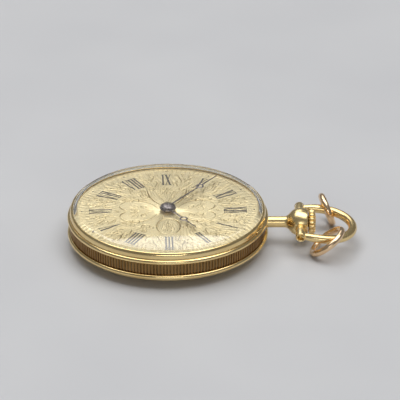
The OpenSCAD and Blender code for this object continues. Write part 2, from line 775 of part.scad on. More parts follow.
module pallet_bridge() {
    color(nickel)
        difference() {
            union() {
                at_point(pallet_at, pallet_bridge_z) rotate(lever_turn + 90)
                    translate([-pallet_post_reach, -0.35, 0])
                    cube([2 * pallet_post_reach, 0.7, pallet_bridge_t]);
                for (p = pallet_posts) at_point(p, pallet_bridge_z)
                    cylinder(r = 0.35, h = plate_low_z - pallet_bridge_z);
            }
            for (p = pallet_posts) at_point(p, pallet_bridge_z - 1) cylinder(r = 0.2, h = 4);
            at_point(pallet_at, pallet_bridge_z - 1) cylinder(r = pivot_r + pivot_gap, h = 2);
        }
}

// Movement: barrel and winding

barrel_low_z = 2.24;
barrel_high_z = 2.92;
barrel_rim_r = barrel_module * barrel_teeth / 2 - 1.3 * barrel_module;
barrel_room_r = barrel_rim_r - 0.22;
barrel_cover_t = 0.12;
barrel_bore = 0.4;
arbor_hub_r = 1.0;
module barrel() {
    tooth_h = 0.32;
    color(brass)
        at_point(barrel_at, 0)
            difference() {
                union() {
                    translate([0, 0, barrel_high_z - tooth_h]) linear_extrude(tooth_h)
                        toothed(barrel_teeth, barrel_module, barrel_turn + 180, true);
                    translate([0, 0, barrel_low_z])
                        cylinder(r = barrel_rim_r, h = barrel_high_z - barrel_low_z);
                }
                translate([0, 0, barrel_low_z - 1])
                    cylinder(r = barrel_room_r, h = 1 + barrel_high_z - barrel_low_z - 0.12);
                cylinder(r = barrel_bore + turn_gap, h = 9);
            }
}
module barrel_cover() {
    color(brass)
        at_point(barrel_at, barrel_low_z)
            difference() {
                cylinder(r = barrel_room_r, h = barrel_cover_t);
                translate([0, 0, -1]) cylinder(r = barrel_bore + turn_gap, h = 3);
            }
}
module barrel_arbor() {
    color(steel)
        at_point(barrel_at, 0)
            difference() {
                union() {
                    translate([0, 0, bridge_low_z + 0.12])
                        cylinder(r = barrel_bore, h = plate_top_z - bridge_low_z - 0.22);
                    translate([0, 0, barrel_low_z + 0.16]) cylinder(r = arbor_hub_r, h = 0.36);
                }
                translate([0, 0, bridge_low_z]) cylinder(r = 0.2, h = 1.2);
            }
}
module mainspring() {
    strip = 0.09;
    turns = 6;
    steps = 16;
    inner = arbor_hub_r + 0.08;
    outer = barrel_room_r - 0.2;
    color(steel)
        at_point(barrel_at, barrel_low_z + 0.2) linear_extrude(0.3)
            polygon(concat(spiral_edge(inner, outer, turns, 0, steps),
                reversed(spiral_edge(inner, outer, turns, strip, steps))));
}
wheel_t = 0.28;
wheel_low_z = bridge_low_z + 0.02;
module ratchet_wheel() {
    line = atan2(-ratchet_line[1], -ratchet_line[0]);
    color(steel)
        at_point(barrel_at, wheel_low_z) linear_extrude(wheel_t)
            difference() {
                toothed(ratchet_teeth, winding_module, line);
                circle(barrel_bore + 0.01);
            }
}
module ratchet_screw() {
    color(steel)
        at_point(barrel_at, wheel_low_z) {
            difference() {
                union() {
                    cylinder(r = 0.39, h = 0.09);
                    cylinder(r = 0.19, h = 0.9);
                }
                translate([-1, -0.08, -1]) cube([2, 0.16, 1.05]);
            }
        }
}
module crown_wheel() {
    line = atan2(ratchet_line[1], ratchet_line[0]);
    tooth_top = stem_z - pinion_pitch_r + 0.10;
    tooth_root = stem_z - pinion_pitch_r - 0.16;
    color(steel)
        at_point(crown_wheel_at, 0)
            difference() {
                union() {
                    translate([0, 0, wheel_low_z]) linear_extrude(wheel_t)
                        toothed(crown_teeth, winding_module, line, true);
                    translate([0, 0, wheel_low_z])
                        cylinder(r = contrate_r + 0.22, h = tooth_top - wheel_low_z);
                }
                translate([0, 0, wheel_low_z + wheel_t]) cylinder(r = contrate_r - 0.22, h = 3);
                translate([0, 0, wheel_low_z - 1]) cylinder(r = 0.5 + turn_gap, h = 3);
                for (i = [0:contrate_teeth - 1])
                    rotate(360 / contrate_teeth * i) translate([contrate_r - 0.5, -0.2, tooth_root])
                        cube([1, 0.4, 2]);
            }
}
module crown_wheel_core() {
    core_l = 1.05;
    color(steel)
        at_point(crown_wheel_at, wheel_low_z)
            difference() {
                union() {
                    cylinder(r = 0.19, h = core_l);
                    cylinder(r = 0.48, h = 0.5);
                }
                translate([-1, -0.08, -1]) cube([2, 0.16, 1.1]);
            }
}

// Click that holds the ratchet wheel, and its spring
module click() {
    nose = ratchet_r - 0.04;
    color(steel)
        difference() {
            union() {
                at_point(click_at, wheel_low_z) cylinder(r = 0.42, h = 0.26);
                at_point(click_at, wheel_low_z) cylinder(r = 0.18, h = 0.7);
                at_point(click_at, wheel_low_z) rotate(click_side - 90) linear_extrude(0.26)
                    polygon([[-0.2, 0.36], [0.85, 0.1], [0.88, -0.25], [0.1, -0.4]]);
            }
            at_point(barrel_at, 0) cylinder(r = nose, h = 3);
        }
}
module click_spring() {
    color(steel)
        at_point(click_at, wheel_low_z) rotate(click_side - 90) {
            linear_extrude(0.2) polygon([[-0.85, 0.53], [-0.85, 0.45], [0.7, 0.45], [0.7, 0.53]]);
            translate([-0.75, 0.49, 0]) cylinder(r = 0.12, h = wheel_recess - seam_gap);
        }
}

// Movement: going train

centre_wheel_z = 2.02;
third_wheel_z = 2.30;
fourth_wheel_z = 2.70;
escape_wheel_z = 2.46;
train_t = 0.12;
arbor_r = 0.2;
collet = arbor_r + 0.005;
pivot_l = 0.35;
pinion_over = 0.03;

module centre_wheel() {
    color(brass) translate([0, 0, centre_wheel_z])
        crossed_wheel(centre_teeth, centre_module, train_t, third_turn, 0.3 + 0.005);
}
module centre_arbor() {
    color(steel)
        difference() {
            union() {
                translate([0, 0, bridge_low_z + 0.05]) cylinder(r = 0.12, h = 0.8);
                translate([0, 0, bridge_top_z + 0.02])
                    cylinder(r = 0.3, h = plate_top_z - bridge_top_z - 0.04);
                translate([0, 0, plate_top_z - 0.1])
                    cylinder(r = 0.18, h = minute_hand_z - plate_top_z + 0.15);
                translate([0, 0, 2.56])
                    leaves(centre_leaves, barrel_module, 0.36, barrel_turn + 180 / centre_leaves);
            }
        }
}
module third_wheel() {
    color(brass) at_point(third_at, third_wheel_z)
        crossed_wheel(third_teeth, third_module, train_t, fourth_turn, collet);
}
module third_arbor() {
    color(steel) at_point(third_at, 0) {
        arbor(bridge_low_z + 0.05, plate_low_z + jewel_h - 0.04, arbor_r, pivot_r, 0.72);
        translate([0, 0, centre_wheel_z - pinion_over])
            leaves(third_leaves, centre_module, train_t + 2 * pinion_over, third_turn);
    }
}
module fourth_wheel() {
    color(brass) at_point(fourth_at, fourth_wheel_z)
        crossed_wheel(fourth_teeth, fourth_module, train_t, escape_turn, collet);
}
module fourth_arbor() {
    color(steel) at_point(fourth_at, 0) {
        arbor(bridge_low_z + 0.05, plate_low_z + jewel_h - 0.04, arbor_r, pivot_r, 0.72);
        translate([0, 0, third_wheel_z - pinion_over])
            leaves(fourth_leaves, third_module, train_t + 2 * pinion_over, fourth_turn);
    }
}
escape_tip_r = 2.0;
escape_n = 15;
module escape_wheel() {
    color(steel) at_point(escape_at, escape_wheel_z) linear_extrude(0.1)
        difference() {
            rotate(lever_turn) polygon([for (i = [0:escape_n - 1]) for (p = [[-8, 1.45], [-1.2, escape_tip_r],
                [1.2, escape_tip_r], [2.5, 1.45]]) let (a = 360 / escape_n * i + p[0]) p[1] * [cos(a),
                    sin(a)]]);
            circle(0.14 + 0.005);
            for (q = [0:3]) rotate(90 * q + 45) wheel_window(1.2, 0.45);
        }
}
module escape_arbor() {
    color(steel) at_point(escape_at, 0) {
        arbor(bridge_low_z + 0.05, plate_low_z + jewel_h - 0.04, 0.14, pivot_r, 0.72);
        translate([0, 0, fourth_wheel_z - pinion_over])
            leaves(escape_leaves, fourth_module, train_t + 2 * pinion_over, escape_turn);
    }
}

// Movement: escapement

lever_z = 2.45;
lever_t = 0.13;
stone_angle = 36;
stone_near = 2.06;
stone_l = 0.42;
stone_w = 0.2;
roller_r = 0.85;
impulse_r = 0.72;
fork_tip = fork_reach - impulse_r + 0.05;
module at_stones(grow) {
    for (s = [-1, 1]) translate([-pallet_reach, 0]) rotate(s * stone_angle)
        translate([stone_near - grow, -stone_w / 2 - grow]) square([stone_l + 2 * grow, stone_w + 2 * grow]);
}
module pallet_lever() {
    reach_x = -pallet_reach + (stone_near + 0.3) * cos(stone_angle);
    reach_y = (stone_near + 0.3) * sin(stone_angle);
    color(steel) at_point(pallet_at, 0) rotate(lever_turn) {
        translate([0, 0, lever_z]) linear_extrude(lever_t)
            difference() {
                union() {
                    circle(0.24);
                    for (s = [-1, 1]) {
                        polygon([[0.16, 0], [reach_x + 0.14, s * reach_y], [reach_x - 0.05, s * reach_y],
                            [-0.16, 0]]);
                        translate([-pallet_reach, 0]) rotate(s * stone_angle)
                            translate([stone_near + 0.12, -stone_w / 2 - 0.12])
                                square([stone_l, stone_w + 0.24]);
                    }
                    translate([0, -0.13]) square([fork_tip - 0.3, 0.26]);
                    translate([fork_tip - 0.5, -0.34]) square([0.5, 0.68]);
                }
                translate([fork_tip - 0.25, -0.16]) square([1, 0.32]);
                at_stones(0.01);
            }
        translate([0, 0, pallet_bridge_z + 0.02])
            cylinder(r = pivot_r, h = plate_low_z + jewel_h - pallet_bridge_z - 0.06);
    }
}
module pallet_stones() {
    color(ruby) at_point(pallet_at, lever_z) rotate(lever_turn) linear_extrude(lever_t) at_stones(0);
}
balance_z = 1.84;
balance_rim_h = 0.24;
module balance_wheel() {
    rim_w = 0.34;
    color(brass) at_point(balance_at, balance_z)
        difference() {
            union() {
                difference() {
                    cylinder(r = balance_r, h = balance_rim_h);
                    translate([0, 0, -1]) cylinder(r = balance_r - rim_w, h = 3);
                }
                translate([-balance_r + 0.1, -0.22, 0.08]) cube([2 * balance_r - 0.2, 0.44, 0.14]);
                translate([0, 0, 0.08]) cylinder(r = 0.6, h = 0.14);
            }
            translate([0, 0, -1]) cylinder(r = 0.18 + 0.005, h = 3);
        }
}
module balance_staff() {
    color(steel) at_point(balance_at, 0)
        arbor(cock_low_z + 0.24, plate_low_z + jewel_h - 0.04, 0.18, pivot_r * 0.8, 0.36);
}
module roller() {
    color(steel) at_point(balance_at, 0) rotate(lever_turn)
        difference() {
            union() {
                translate([0, 0, lever_z + lever_t + 0.06]) cylinder(r = roller_r, h = 0.1);
                translate([-impulse_r, 0, lever_z + 0.02]) cylinder(r = 0.1, h = lever_t + 0.1);
            }
            translate([0, 0, 1]) cylinder(r = 0.18 + 0.005, h = 3);
        }
}
module hairspring() {
    strip = 0.04;
    turns = 7;
    steps = 16;
    color(blued) at_point(balance_at, cock_top_z + 0.05) linear_extrude(0.1)
        polygon(concat(spiral_edge(0.35, 1.9, turns, 0, steps),
            reversed(spiral_edge(0.35, 1.9, turns, strip, steps))));
}
module regulator() {
    color(steel) at_point(balance_at, cock_low_z + 0.02) rotate(150)
        difference() {
            union() {
                cylinder(r = regulator_bore_r - turn_gap, h = 0.16);
                translate([0, -0.12, 0]) cube([regulator_bore_r - 0.1, 0.24, 0.16]);
            }
            translate([0, 0, -1]) cylinder(r = jewel_r + turn_gap, h = 3);
        }
}

// Motion work

motion_z = plate_top_z + 0.04;
motion_t = 0.16;
module cannon_pinion() {
    color(steel)
        difference() {
            union() {
                translate([0, 0, motion_z])
                    cylinder(r = cannon_r - 0.005, h = minute_hand_z + 0.12 - motion_z);
                translate([0, 0, motion_z])
                    leaves(cannon_leaves, motion_module, motion_t + 0.04, minute_turn + 180 / cannon_leaves);
            }
            translate([0, 0, 3]) cylinder(r = 0.18 + 0.005, h = 9);
        }
}
module minute_wheel() {
    color(brass) at_point(minute_at, 0)
        difference() {
            union() {
                translate([0, 0, motion_z]) linear_extrude(motion_t)
                    toothed(minute_teeth, motion_module, minute_turn + 180, true);
                translate([0, 0, motion_z])
                    leaves(minute_leaves, hour_module, 0.42, minute_turn + 180 + 180 / minute_leaves);
            }
            translate([0, 0, 3]) cylinder(r = 0.2 + turn_gap, h = 3);
        }
}
hour_wheel_z = motion_z + motion_t + 0.06;
module hour_wheel() {
    color(brass)
        difference() {
            union() {
                translate([0, 0, hour_wheel_z]) linear_extrude(0.16)
                    toothed(hour_teeth, hour_module, minute_turn, true);
                translate([0, 0, hour_wheel_z])
                    cylinder(r = hour_pipe_r - 0.005, h = hour_hand_z + 0.2 - hour_wheel_z);
            }
            translate([0, 0, 3]) cylinder(r = cannon_r + hour_pipe_gap, h = 9);
        }
}
module setting_wheel() {
    color(steel) at_point(setting_at, 0)
        difference() {
            translate([0, 0, motion_z]) linear_extrude(motion_t)
                toothed(setting_teeth, motion_module, setting_turn + 180, true);
            translate([0, 0, 3]) cylinder(r = 0.2 + turn_gap, h = 3);
        }
}

// Keyless work

clutch_x = pinion_x - pinion_l / 2 - 0.04 - clutch_l;
stem_end_x = crown_wheel_x - 2.0;
groove_x = pinion_x + pinion_l / 2 + 0.75;
setting_lever_at = [groove_x - 0.2, 2.0];
yoke_groove_x = clutch_x + 0.46;
yoke_at = [yoke_groove_x, 2.5];
module winding_stem() {
    color(steel)
        difference() {
            union() {
                at_stem(pinion_x - pinion_l / 2 - 0.02) cylinder(r = stem_r, h = crown_x + 0.3 - pinion_x);
                at_stem(stem_end_x) cylinder(r = 0.24, h = clutch_x - 0.7 - stem_end_x);
                at_stem(clutch_x - 0.8) linear_extrude(pinion_x - clutch_x + 0.8)
                    square(square_side, center = true);
            }
            at_stem(groove_x - 0.2) difference() {
                cylinder(r = stem_r + 1, h = 0.4);
                cylinder(r = stem_r - 0.12, h = 0.4);
            }
        }
}
module winding_pinion() {
    tip = pinion_pitch_r + 0.10;
    root = pinion_pitch_r - 0.16;
    color(steel)
        difference() {
            at_stem(pinion_x - pinion_l / 2) linear_extrude(pinion_l)
                polygon(tooth_points(pinion_teeth, root, tip, 0.34, 0.22));
            at_stem(pinion_x - 2) cylinder(r = stem_r + stem_gap, h = 4);
        }
}
module clutch_wheel() {
    color(steel)
        difference() {
            union() {
                at_stem(clutch_x) cylinder(r = clutch_r - 0.3, h = clutch_l);
                at_stem(clutch_x) linear_extrude(0.28)
                    polygon(tooth_points(14, clutch_r - 0.28, clutch_r - 0.02, 0.5, 0.2));
                at_stem(clutch_x + clutch_l - 0.25) cylinder(r = clutch_r - 0.1, h = 0.25);
            }
            at_stem(clutch_x - 1) linear_extrude(4) square(square_side + 0.06, center = true);
        }
}
lever_plate_z = plate_top_z + 0.04;
module setting_lever() {
    pin_x = groove_x;
    color(steel) {
        translate([0, 0, lever_plate_z]) linear_extrude(0.18)
            hull() {
                translate(setting_lever_at) circle(0.4);
                translate([pin_x, 0.1]) circle(0.22);
            }
        at_point(setting_lever_at, plate_top_z - 0.7) cylinder(r = 0.2, h = 0.7 + 0.1);
        translate([pin_x, 0, stem_z + 0.3]) cylinder(r = 0.12, h = lever_plate_z - stem_z - 0.25);
    }
}
module yoke() {
    color(steel) {
        translate([0, 0, lever_plate_z]) linear_extrude(0.18)
            hull() {
                translate(yoke_at) circle(0.4);
                translate([yoke_groove_x, 0.8]) circle(0.15);
            }
        at_point(yoke_at, plate_top_z - 0.7) cylinder(r = 0.2, h = 0.7 + 0.1);
        translate([yoke_groove_x, 0.86, stem_z + 0.2]) cylinder(r = 0.1, h = lever_plate_z - stem_z - 0.15);
    }
}

// Screws and jewels

module bridge_screws() {
    color(blued) {
        for (p = concat(barrel_posts, train_posts, [cock_post]))
            at_point(p, bridge_low_z)
                slotted_screw(screw_head_r, screw_head_h, screw_thread_r - 0.01, screw_l);
        for (p = pallet_posts) at_point(p, pallet_bridge_z - 0.06) slotted_screw(0.3, 0.06, 0.17, 1.1);
    }
}
module case_screws() {
    color(blued)
        for (s = [-1, 1]) translate([0, s * case_screw_y, plate_low_z - 0.3])
            slotted_screw(0.55, 0.29, screw_thread_r - 0.01, 1.2);
}
module jewel(p, z, hole) {
    at_point(p, z)
        difference() {
            cylinder(r = jewel_r - 0.005, h = jewel_h);
            translate([0, 0, -1]) cylinder(r = hole, h = 3);
        }
}
module jewels() {
    hole = pivot_r + pivot_gap;
    color(ruby) {
        for (p = jeweled) {
            jewel(p, bridge_top_z - jewel_h - 0.2, hole);
            jewel(p, plate_low_z, hole);
        }
        jewel(pallet_at, plate_low_z, hole);
        jewel(balance_at, plate_low_z, pivot_r * 0.8 + pivot_gap);
        jewel(balance_at, cock_low_z + 0.06, pivot_r * 0.8 + pivot_gap);
        jewel(centre_at, bridge_low_z + 0.2, 0.12 + pivot_gap);
    }
}

case_middle();
bezel();
crystal();
back_cover();
cuvette();
bezel_hinge_pin();
back_hinge_pin();
pendant();
crown();
bow();
bow_screws();
jump_ring_far();
jump_ring_near();
dial();
hour_hand();
minute_hand();
dial_screws();
main_plate();
barrel_bridge();
train_bridge();
balance_cock();
pallet_bridge();
barrel();
barrel_cover();
barrel_arbor();
mainspring();
ratchet_wheel();
ratchet_screw();
crown_wheel();
crown_wheel_core();
click();
click_spring();
centre_wheel();
centre_arbor();
third_wheel();
third_arbor();
fourth_wheel();
fourth_arbor();
escape_wheel();
escape_arbor();
pallet_lever();
pallet_stones();
balance_wheel();
balance_staff();
roller();
hairspring();
regulator();
cannon_pinion();
minute_wheel();
hour_wheel();
winding_stem();
winding_pinion();
clutch_wheel();
setting_lever();
yoke();
setting_wheel();
bridge_screws();
case_screws();
jewels();
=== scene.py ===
import math

import bmesh
import bpy
import numpy as np
from mathutils import Matrix, Vector


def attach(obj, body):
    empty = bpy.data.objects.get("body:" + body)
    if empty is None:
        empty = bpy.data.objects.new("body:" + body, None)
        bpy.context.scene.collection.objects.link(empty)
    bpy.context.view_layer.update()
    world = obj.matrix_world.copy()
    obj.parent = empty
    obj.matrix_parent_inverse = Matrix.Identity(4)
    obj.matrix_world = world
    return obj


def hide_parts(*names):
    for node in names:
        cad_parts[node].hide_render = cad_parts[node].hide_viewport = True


# Open face pocket watch. Lengths in the helpers are millimetres, in the row frame:
# XII and the pendant point to +X, III to -Y, the dial faces +Z, and z = 0 is the floor.
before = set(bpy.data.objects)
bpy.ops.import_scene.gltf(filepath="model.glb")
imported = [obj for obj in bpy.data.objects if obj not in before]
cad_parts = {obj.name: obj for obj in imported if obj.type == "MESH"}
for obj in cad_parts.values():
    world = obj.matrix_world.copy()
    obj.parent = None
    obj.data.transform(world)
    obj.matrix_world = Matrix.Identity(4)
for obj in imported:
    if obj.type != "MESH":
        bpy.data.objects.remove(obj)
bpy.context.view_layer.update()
MM = 0.001
TAU = 2 * math.pi


# ---------------------------------------------------------------- mesh helpers
def skin(rings, loop=False, caps=True):
    """Quads over rings, an array (m, k, 3) of closed rings. loop joins the last ring to the first."""
    rings = np.asarray(rings, float)
    m, k = rings.shape[:2]
    i = np.arange(m if loop else m - 1)[:, None]
    j = np.arange(k)[None, :]
    a = i * k + j
    b = i * k + (j + 1) % k
    c = ((i + 1) % m) * k + (j + 1) % k
    d = ((i + 1) % m) * k + j
    faces = np.stack([a, b, c, d], -1).reshape(-1, 4).tolist()
    if not loop and caps:
        faces.append(list(range(k))[::-1])
        faces.append(list(range((m - 1) * k, m * k)))
    return rings.reshape(-1, 3), faces


def lathe(profile, steps=256, loop=False, swell=None, turn=0.0):
    """Revolves (radius, height) pairs about Z. swell(angles, i) may scale the radius round ring i."""
    angles = np.arange(steps) * TAU / steps + math.radians(turn)
    rings = []
    for i, (r, h) in enumerate(profile):
        rr = r * (swell(angles, i) if swell else 1.0) * np.ones(steps)
        rings.append(np.stack([rr * np.cos(angles), rr * np.sin(angles), np.full(steps, h)], -1))
    return skin(rings, loop)


def sweep(path, radii, sides=40):
    """A tube along a path that lies in a level plane. radii gives its radius at each point of the path."""
    up = np.array([0.0, 0.0, 1.0])
    along = np.gradient(path, axis=0)
    along /= np.linalg.norm(along, axis=1)[:, None]
    side = np.cross(along, up)
    side /= np.linalg.norm(side, axis=1)[:, None]
    t = np.arange(sides) * TAU / sides
    spokes = np.cos(t)[None, :, None] * side[:, None] + np.sin(t)[None, :, None] * up
    return skin(path[:, None] + radii[:, None, None] * spokes)


def put(part, matrix):
    """A part moved by a matrix."""
    v, f = part
    m = np.array(matrix)
    return v @ m[:3, :3].T + m[:3, 3], f


def on_stem(part):
    """Turns a part on Z so that it lies along +X on the stem's line."""
    v, f = part
    return np.stack([v[:, 2], v[:, 0], v[:, 1] + STEM_Z], -1), f


def along_y(part, x, z, hand=1):
    """Turns a part on Z so that it lies along Y, at x and z."""
    v, f = part
    return np.stack([v[:, 0] + x, v[:, 2] * hand, v[:, 1] + z], -1), f


def along_x(part, x, y, z):
    """Turns a part on Z so that it lies along X, at x, y and z."""
    v, f = part
    return np.stack([v[:, 2] + x, v[:, 0] + y, v[:, 1] + z], -1), f


def block(size, at, bevel=0.05, turn=0.0, segments=3):
    """A box with rounded edges, centred on at, turned about Z through the origin."""
    bm = bmesh.new()
    bmesh.ops.create_cube(bm, size=1.0)
    bmesh.ops.scale(bm, vec=size, verts=bm.verts)
    bmesh.ops.bevel(bm, geom=bm.edges[:], offset=bevel, segments=segments, profile=0.5, affect="EDGES")
    v = np.array([p.co[:] for p in bm.verts]) + np.asarray(at)
    f = [[p.index for p in q.verts] for q in bm.faces]
    bm.free()
    a = math.radians(turn)
    return np.stack([v[:, 0] * math.cos(a) - v[:, 1] * math.sin(a),
                     v[:, 0] * math.sin(a) + v[:, 1] * math.cos(a), v[:, 2]], -1), f


def mesh_of(name, parts, scale=1.0, facing=True):
    """One mesh from parts, each (verts, faces). facing turns every face outwards."""
    faces, at = [], 0
    for v, f in parts:
        faces += [[q + at for q in face] for face in f]
        at += len(v)
    mesh = bpy.data.meshes.new(name)
    mesh.from_pydata((np.concatenate([p[0] for p in parts]) * scale).tolist(), [], faces)
    if facing:
        bm = bmesh.new()
        bm.from_mesh(mesh)
        bmesh.ops.recalc_face_normals(bm, faces=bm.faces)
        bm.to_mesh(mesh)
        bm.free()
    return mesh


def piece(name, parts, mats, body, nodes=(), sharp=34.0, facing=True):
    """One object from parts, on a body of the frame. It replaces the nodes, and sharp is its crease angle."""
    mesh = mesh_of(name, parts, MM, facing)
    for m in mats:
        mesh.materials.append(m)
    mesh.polygons.foreach_set("use_smooth", [True] * len(mesh.polygons))
    mesh.set_sharp_from_angle(angle=math.radians(sharp))
    obj = bpy.data.objects.new(name, mesh)
    bpy.context.scene.collection.objects.link(obj)
    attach(obj, body)
    if nodes:
        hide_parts(*nodes)
    return obj


def carve(parts, cutters):
    """Parts with the cutters taken away, as one part."""
    made = []
    for group in (parts, cutters):
        obj = bpy.data.objects.new("carve", mesh_of("carve", group))
        bpy.context.scene.collection.objects.link(obj)
        made.append(obj)
    cut = made[0].modifiers.new("cut", "BOOLEAN")
    cut.operation = "DIFFERENCE"
    cut.solver = "EXACT"
    cut.use_self = True
    cut.object = made[1]
    bpy.context.view_layer.update()
    out = bpy.data.meshes.new_from_object(made[0].evaluated_get(bpy.context.evaluated_depsgraph_get()))
    v = np.array([p.co[:] for p in out.vertices])
    f = [list(p.vertices) for p in out.polygons]
    for o in made:
        bpy.data.objects.remove(o)
    bpy.data.meshes.remove(out)
    return v, f


def arc(centre, radius, a0, a1, n):
    """(r, z) points on an arc, degrees."""
    return [(centre[0] + radius * math.cos(math.radians(a)), centre[1] + radius * math.sin(math.radians(a)))
            for a in np.linspace(a0, a1, n)]


# ---------------------------------------------------------------- materials
class Finish:
    """A Principled material that is built up by short calls."""

    def __init__(self, name, colour, metal=1.0, rough=0.2, **more):
        self.m = bpy.data.materials.new(name)
        self.m.use_nodes = True
        self.nt = self.m.node_tree
        self.b = self.nt.nodes["Principled BSDF"]
        self.b.inputs["Base Color"].default_value = (*colour, 1)
        self.b.inputs["Metallic"].default_value = metal
        self.b.inputs["Roughness"].default_value = rough
        for k, v in more.items():
            self.b.inputs[k.replace("_", " ")].default_value = v
        self.coords = self.nt.nodes.new("ShaderNodeTexCoord").outputs["Object"]

    def link(self, a, b):
        self.nt.links.new(a, b)

    def add(self, kind, links=(), **values):
        n = self.nt.nodes.new("ShaderNode" + kind)
        for k, v in values.items():
            if k in n.bl_rna.properties:
                setattr(n, k, v)
            else:
                n.inputs[k.replace("_", " ")].default_value = v
        for k, s in dict(links).items():
            self.link(s, n.inputs[k])
        return n

    def stretched(self, scale, turn=0.0):
        return self.add("Mapping", {"Vector": self.coords}, Scale=scale,
                        Rotation=(0, 0, math.radians(turn))).outputs["Vector"]

    def noise(self, scale, vector=None, detail=3.0, rough=0.55, warp=0.0):
        n = self.add("TexNoise", {"Vector": vector or self.coords}, Scale=scale, Detail=detail,
                     Roughness=rough, Distortion=warp)
        return n.outputs["Fac"]

    def span(self, value, lo, hi, out_lo, out_hi):
        n = self.add("MapRange", {"Value": value})
        for k, v in zip(("From Min", "From Max", "To Min", "To Max"), (lo, hi, out_lo, out_hi)):
            n.inputs[k].default_value = v
        return n.outputs["Result"]

    def math(self, how, a, b=None, c=None):
        n = self.add("Math", operation=how)
        for i, s in enumerate((a, b, c)):
            if s is None:
                continue
            if isinstance(s, (int, float)):
                n.inputs[i].default_value = s
            else:
                self.link(s, n.inputs[i])
        return n.outputs[0]

    def tint(self, fac, stops):
        n = self.add("ValToRGB", {"Fac": fac})
        ramp = n.color_ramp
        while len(ramp.elements) < len(stops):
            ramp.elements.new(0.5)
        for e, (p, c) in zip(ramp.elements, stops):
            e.position = p
            e.color = (*c, 1)
        return n.outputs["Color"]

    def bump(self, height, strength, distance, after=None):
        n = self.add("Bump", {"Height": height}, Strength=strength, Distance=distance * MM)
        if after:
            self.link(after, n.inputs["Normal"])
        return n.outputs["Normal"]

    def use(self, **sockets):
        for k, s in sockets.items():
            self.link(s, self.b.inputs[k.replace("_", " ")])
        return self.m


def polished(name, colour, deep, rough=0.16):
    """Polished metal with fine scratches and a faint cloud of wear. deep is its colour in the clouds."""
    f = Finish(name, colour, rough=rough)
    wear = f.noise(160, detail=5, warp=0.4)
    fine = f.noise(900, f.stretched((1, 7, 1), 24), detail=4)
    across = f.noise(1100, f.stretched((8, 1, 1), -38), detail=4)
    scratch = f.math("MINIMUM", fine, across)
    return f.use(
        Base_Color=f.tint(wear, [(0.32, deep), (0.62, colour)]),
        Roughness=f.math("ADD", f.span(wear, 0.3, 0.7, rough * 0.75, rough * 1.25),
                         f.span(scratch, 0.2, 0.42, 0.07, 0.0)),
        Normal=f.bump(scratch, 0.10, 0.02, f.bump(wear, 0.05, 0.06)),
    )


GOLD = (0.93, 0.72, 0.36)
GOLD_DEEP = (0.86, 0.62, 0.27)
gold = polished("case_gold", GOLD, GOLD_DEEP)
satin = polished("satin_gold", GOLD, GOLD_DEEP, 0.24)
rose = polished("rose_gold", (0.93, 0.69, 0.44), (0.86, 0.59, 0.34), 0.2)


def reeded():
    """Gold painted far darker than the case as a painted dark reflection, and darker still towards the bottom
    of the reeding as painted shade, with a random mottling of dirt.
    """
    f = Finish("reeded_gold", GOLD, rough=0.24)
    at = f.add("SeparateXYZ", {"Vector": f.coords})
    r = f.math("SQRT", f.math("ADD", f.math("MULTIPLY", at.outputs["X"], at.outputs["X"]),
                              f.math("MULTIPLY", at.outputs["Y"], at.outputs["Y"])))
    # Painted shade: rise lightens the colour towards the tops of the reeds and leaves the valleys dark.
    rise = f.span(r, (REED_LOW + 0.02) * MM, (REED_TOP - 0.01) * MM, 0.0, 1.0)
    dirt = f.noise(420, detail=4)
    level = f.math("ADD", rise, f.span(dirt, 0.3, 0.7, -0.22, 0.12))
    # The whole ramp is a painted dark reflection, far darker than the case gold, with painted shade in the
    # valleys.
    return f.use(
        Base_Color=f.tint(level, [(0.05, (0.05, 0.018, 0.004)), (0.45, (0.13, 0.062, 0.018)),
                                  (0.95, (0.30, 0.175, 0.065))]),
        Roughness=f.span(level, 0.0, 1.0, 0.55, 0.2),
        Normal=f.bump(f.noise(2500), 0.12, 0.02),
    )


def dial_gold():
    """Silky gold whose colour darkens in the engraved grooves and flute valleys as painted shade. The
    attribute cut is how deep the graver went, 0 to 1.
    """
    f = Finish("dial_gold", (0.86, 0.74, 0.46), metal=0.9, rough=0.38)
    cut = f.add("Attribute", attribute_name="cut").outputs["Fac"]
    cloud = f.noise(230, detail=5, warp=0.6)
    grain = f.noise(5200, detail=2)
    # Painted shade: the colour darkens with cut, in the grooves and the flute valleys.
    level = f.math("ADD", f.math("MULTIPLY", cut, 0.75), f.span(cloud, 0.3, 0.7, -0.10, 0.16))
    level = f.math("ADD", level, f.span(grain, 0.3, 0.7, -0.06, 0.06))
    return f.use(
        Base_Color=f.tint(level, [(0.0, (0.92, 0.79, 0.50)), (0.28, (0.78, 0.65, 0.38)),
                                  (0.70, (0.30, 0.21, 0.09))]),
        Roughness=f.math("ADD", f.span(grain, 0.3, 0.7, 0.29, 0.41), f.math("MULTIPLY", cut, 0.12)),
        Normal=f.bump(grain, 0.25, 0.012),
    )


def enamel():
    """Dark brown-black enamel of the numerals."""
    f = Finish("numeral_enamel", (0.075, 0.060, 0.048), metal=0.0, rough=0.4)
    n = f.noise(2600, detail=3)
    return f.use(Base_Color=f.tint(n, [(0.35, (0.050, 0.040, 0.034)), (0.7, (0.115, 0.092, 0.070))]),
                 Roughness=f.span(n, 0.3, 0.7, 0.28, 0.5), Normal=f.bump(n, 0.2, 0.01))


def hand_steel():
    """Dark plum-grey steel of the hands."""
    f = Finish("hand_steel", (0.25, 0.22, 0.215), rough=0.3)
    n = f.noise(1500, f.stretched((1, 4, 1), 30), detail=4)
    return f.use(Base_Color=f.tint(n, [(0.3, (0.17, 0.145, 0.145)), (0.7, (0.33, 0.29, 0.28))]),
                 Roughness=f.span(n, 0.3, 0.7, 0.22, 0.36), Normal=f.bump(n, 0.12, 0.01))


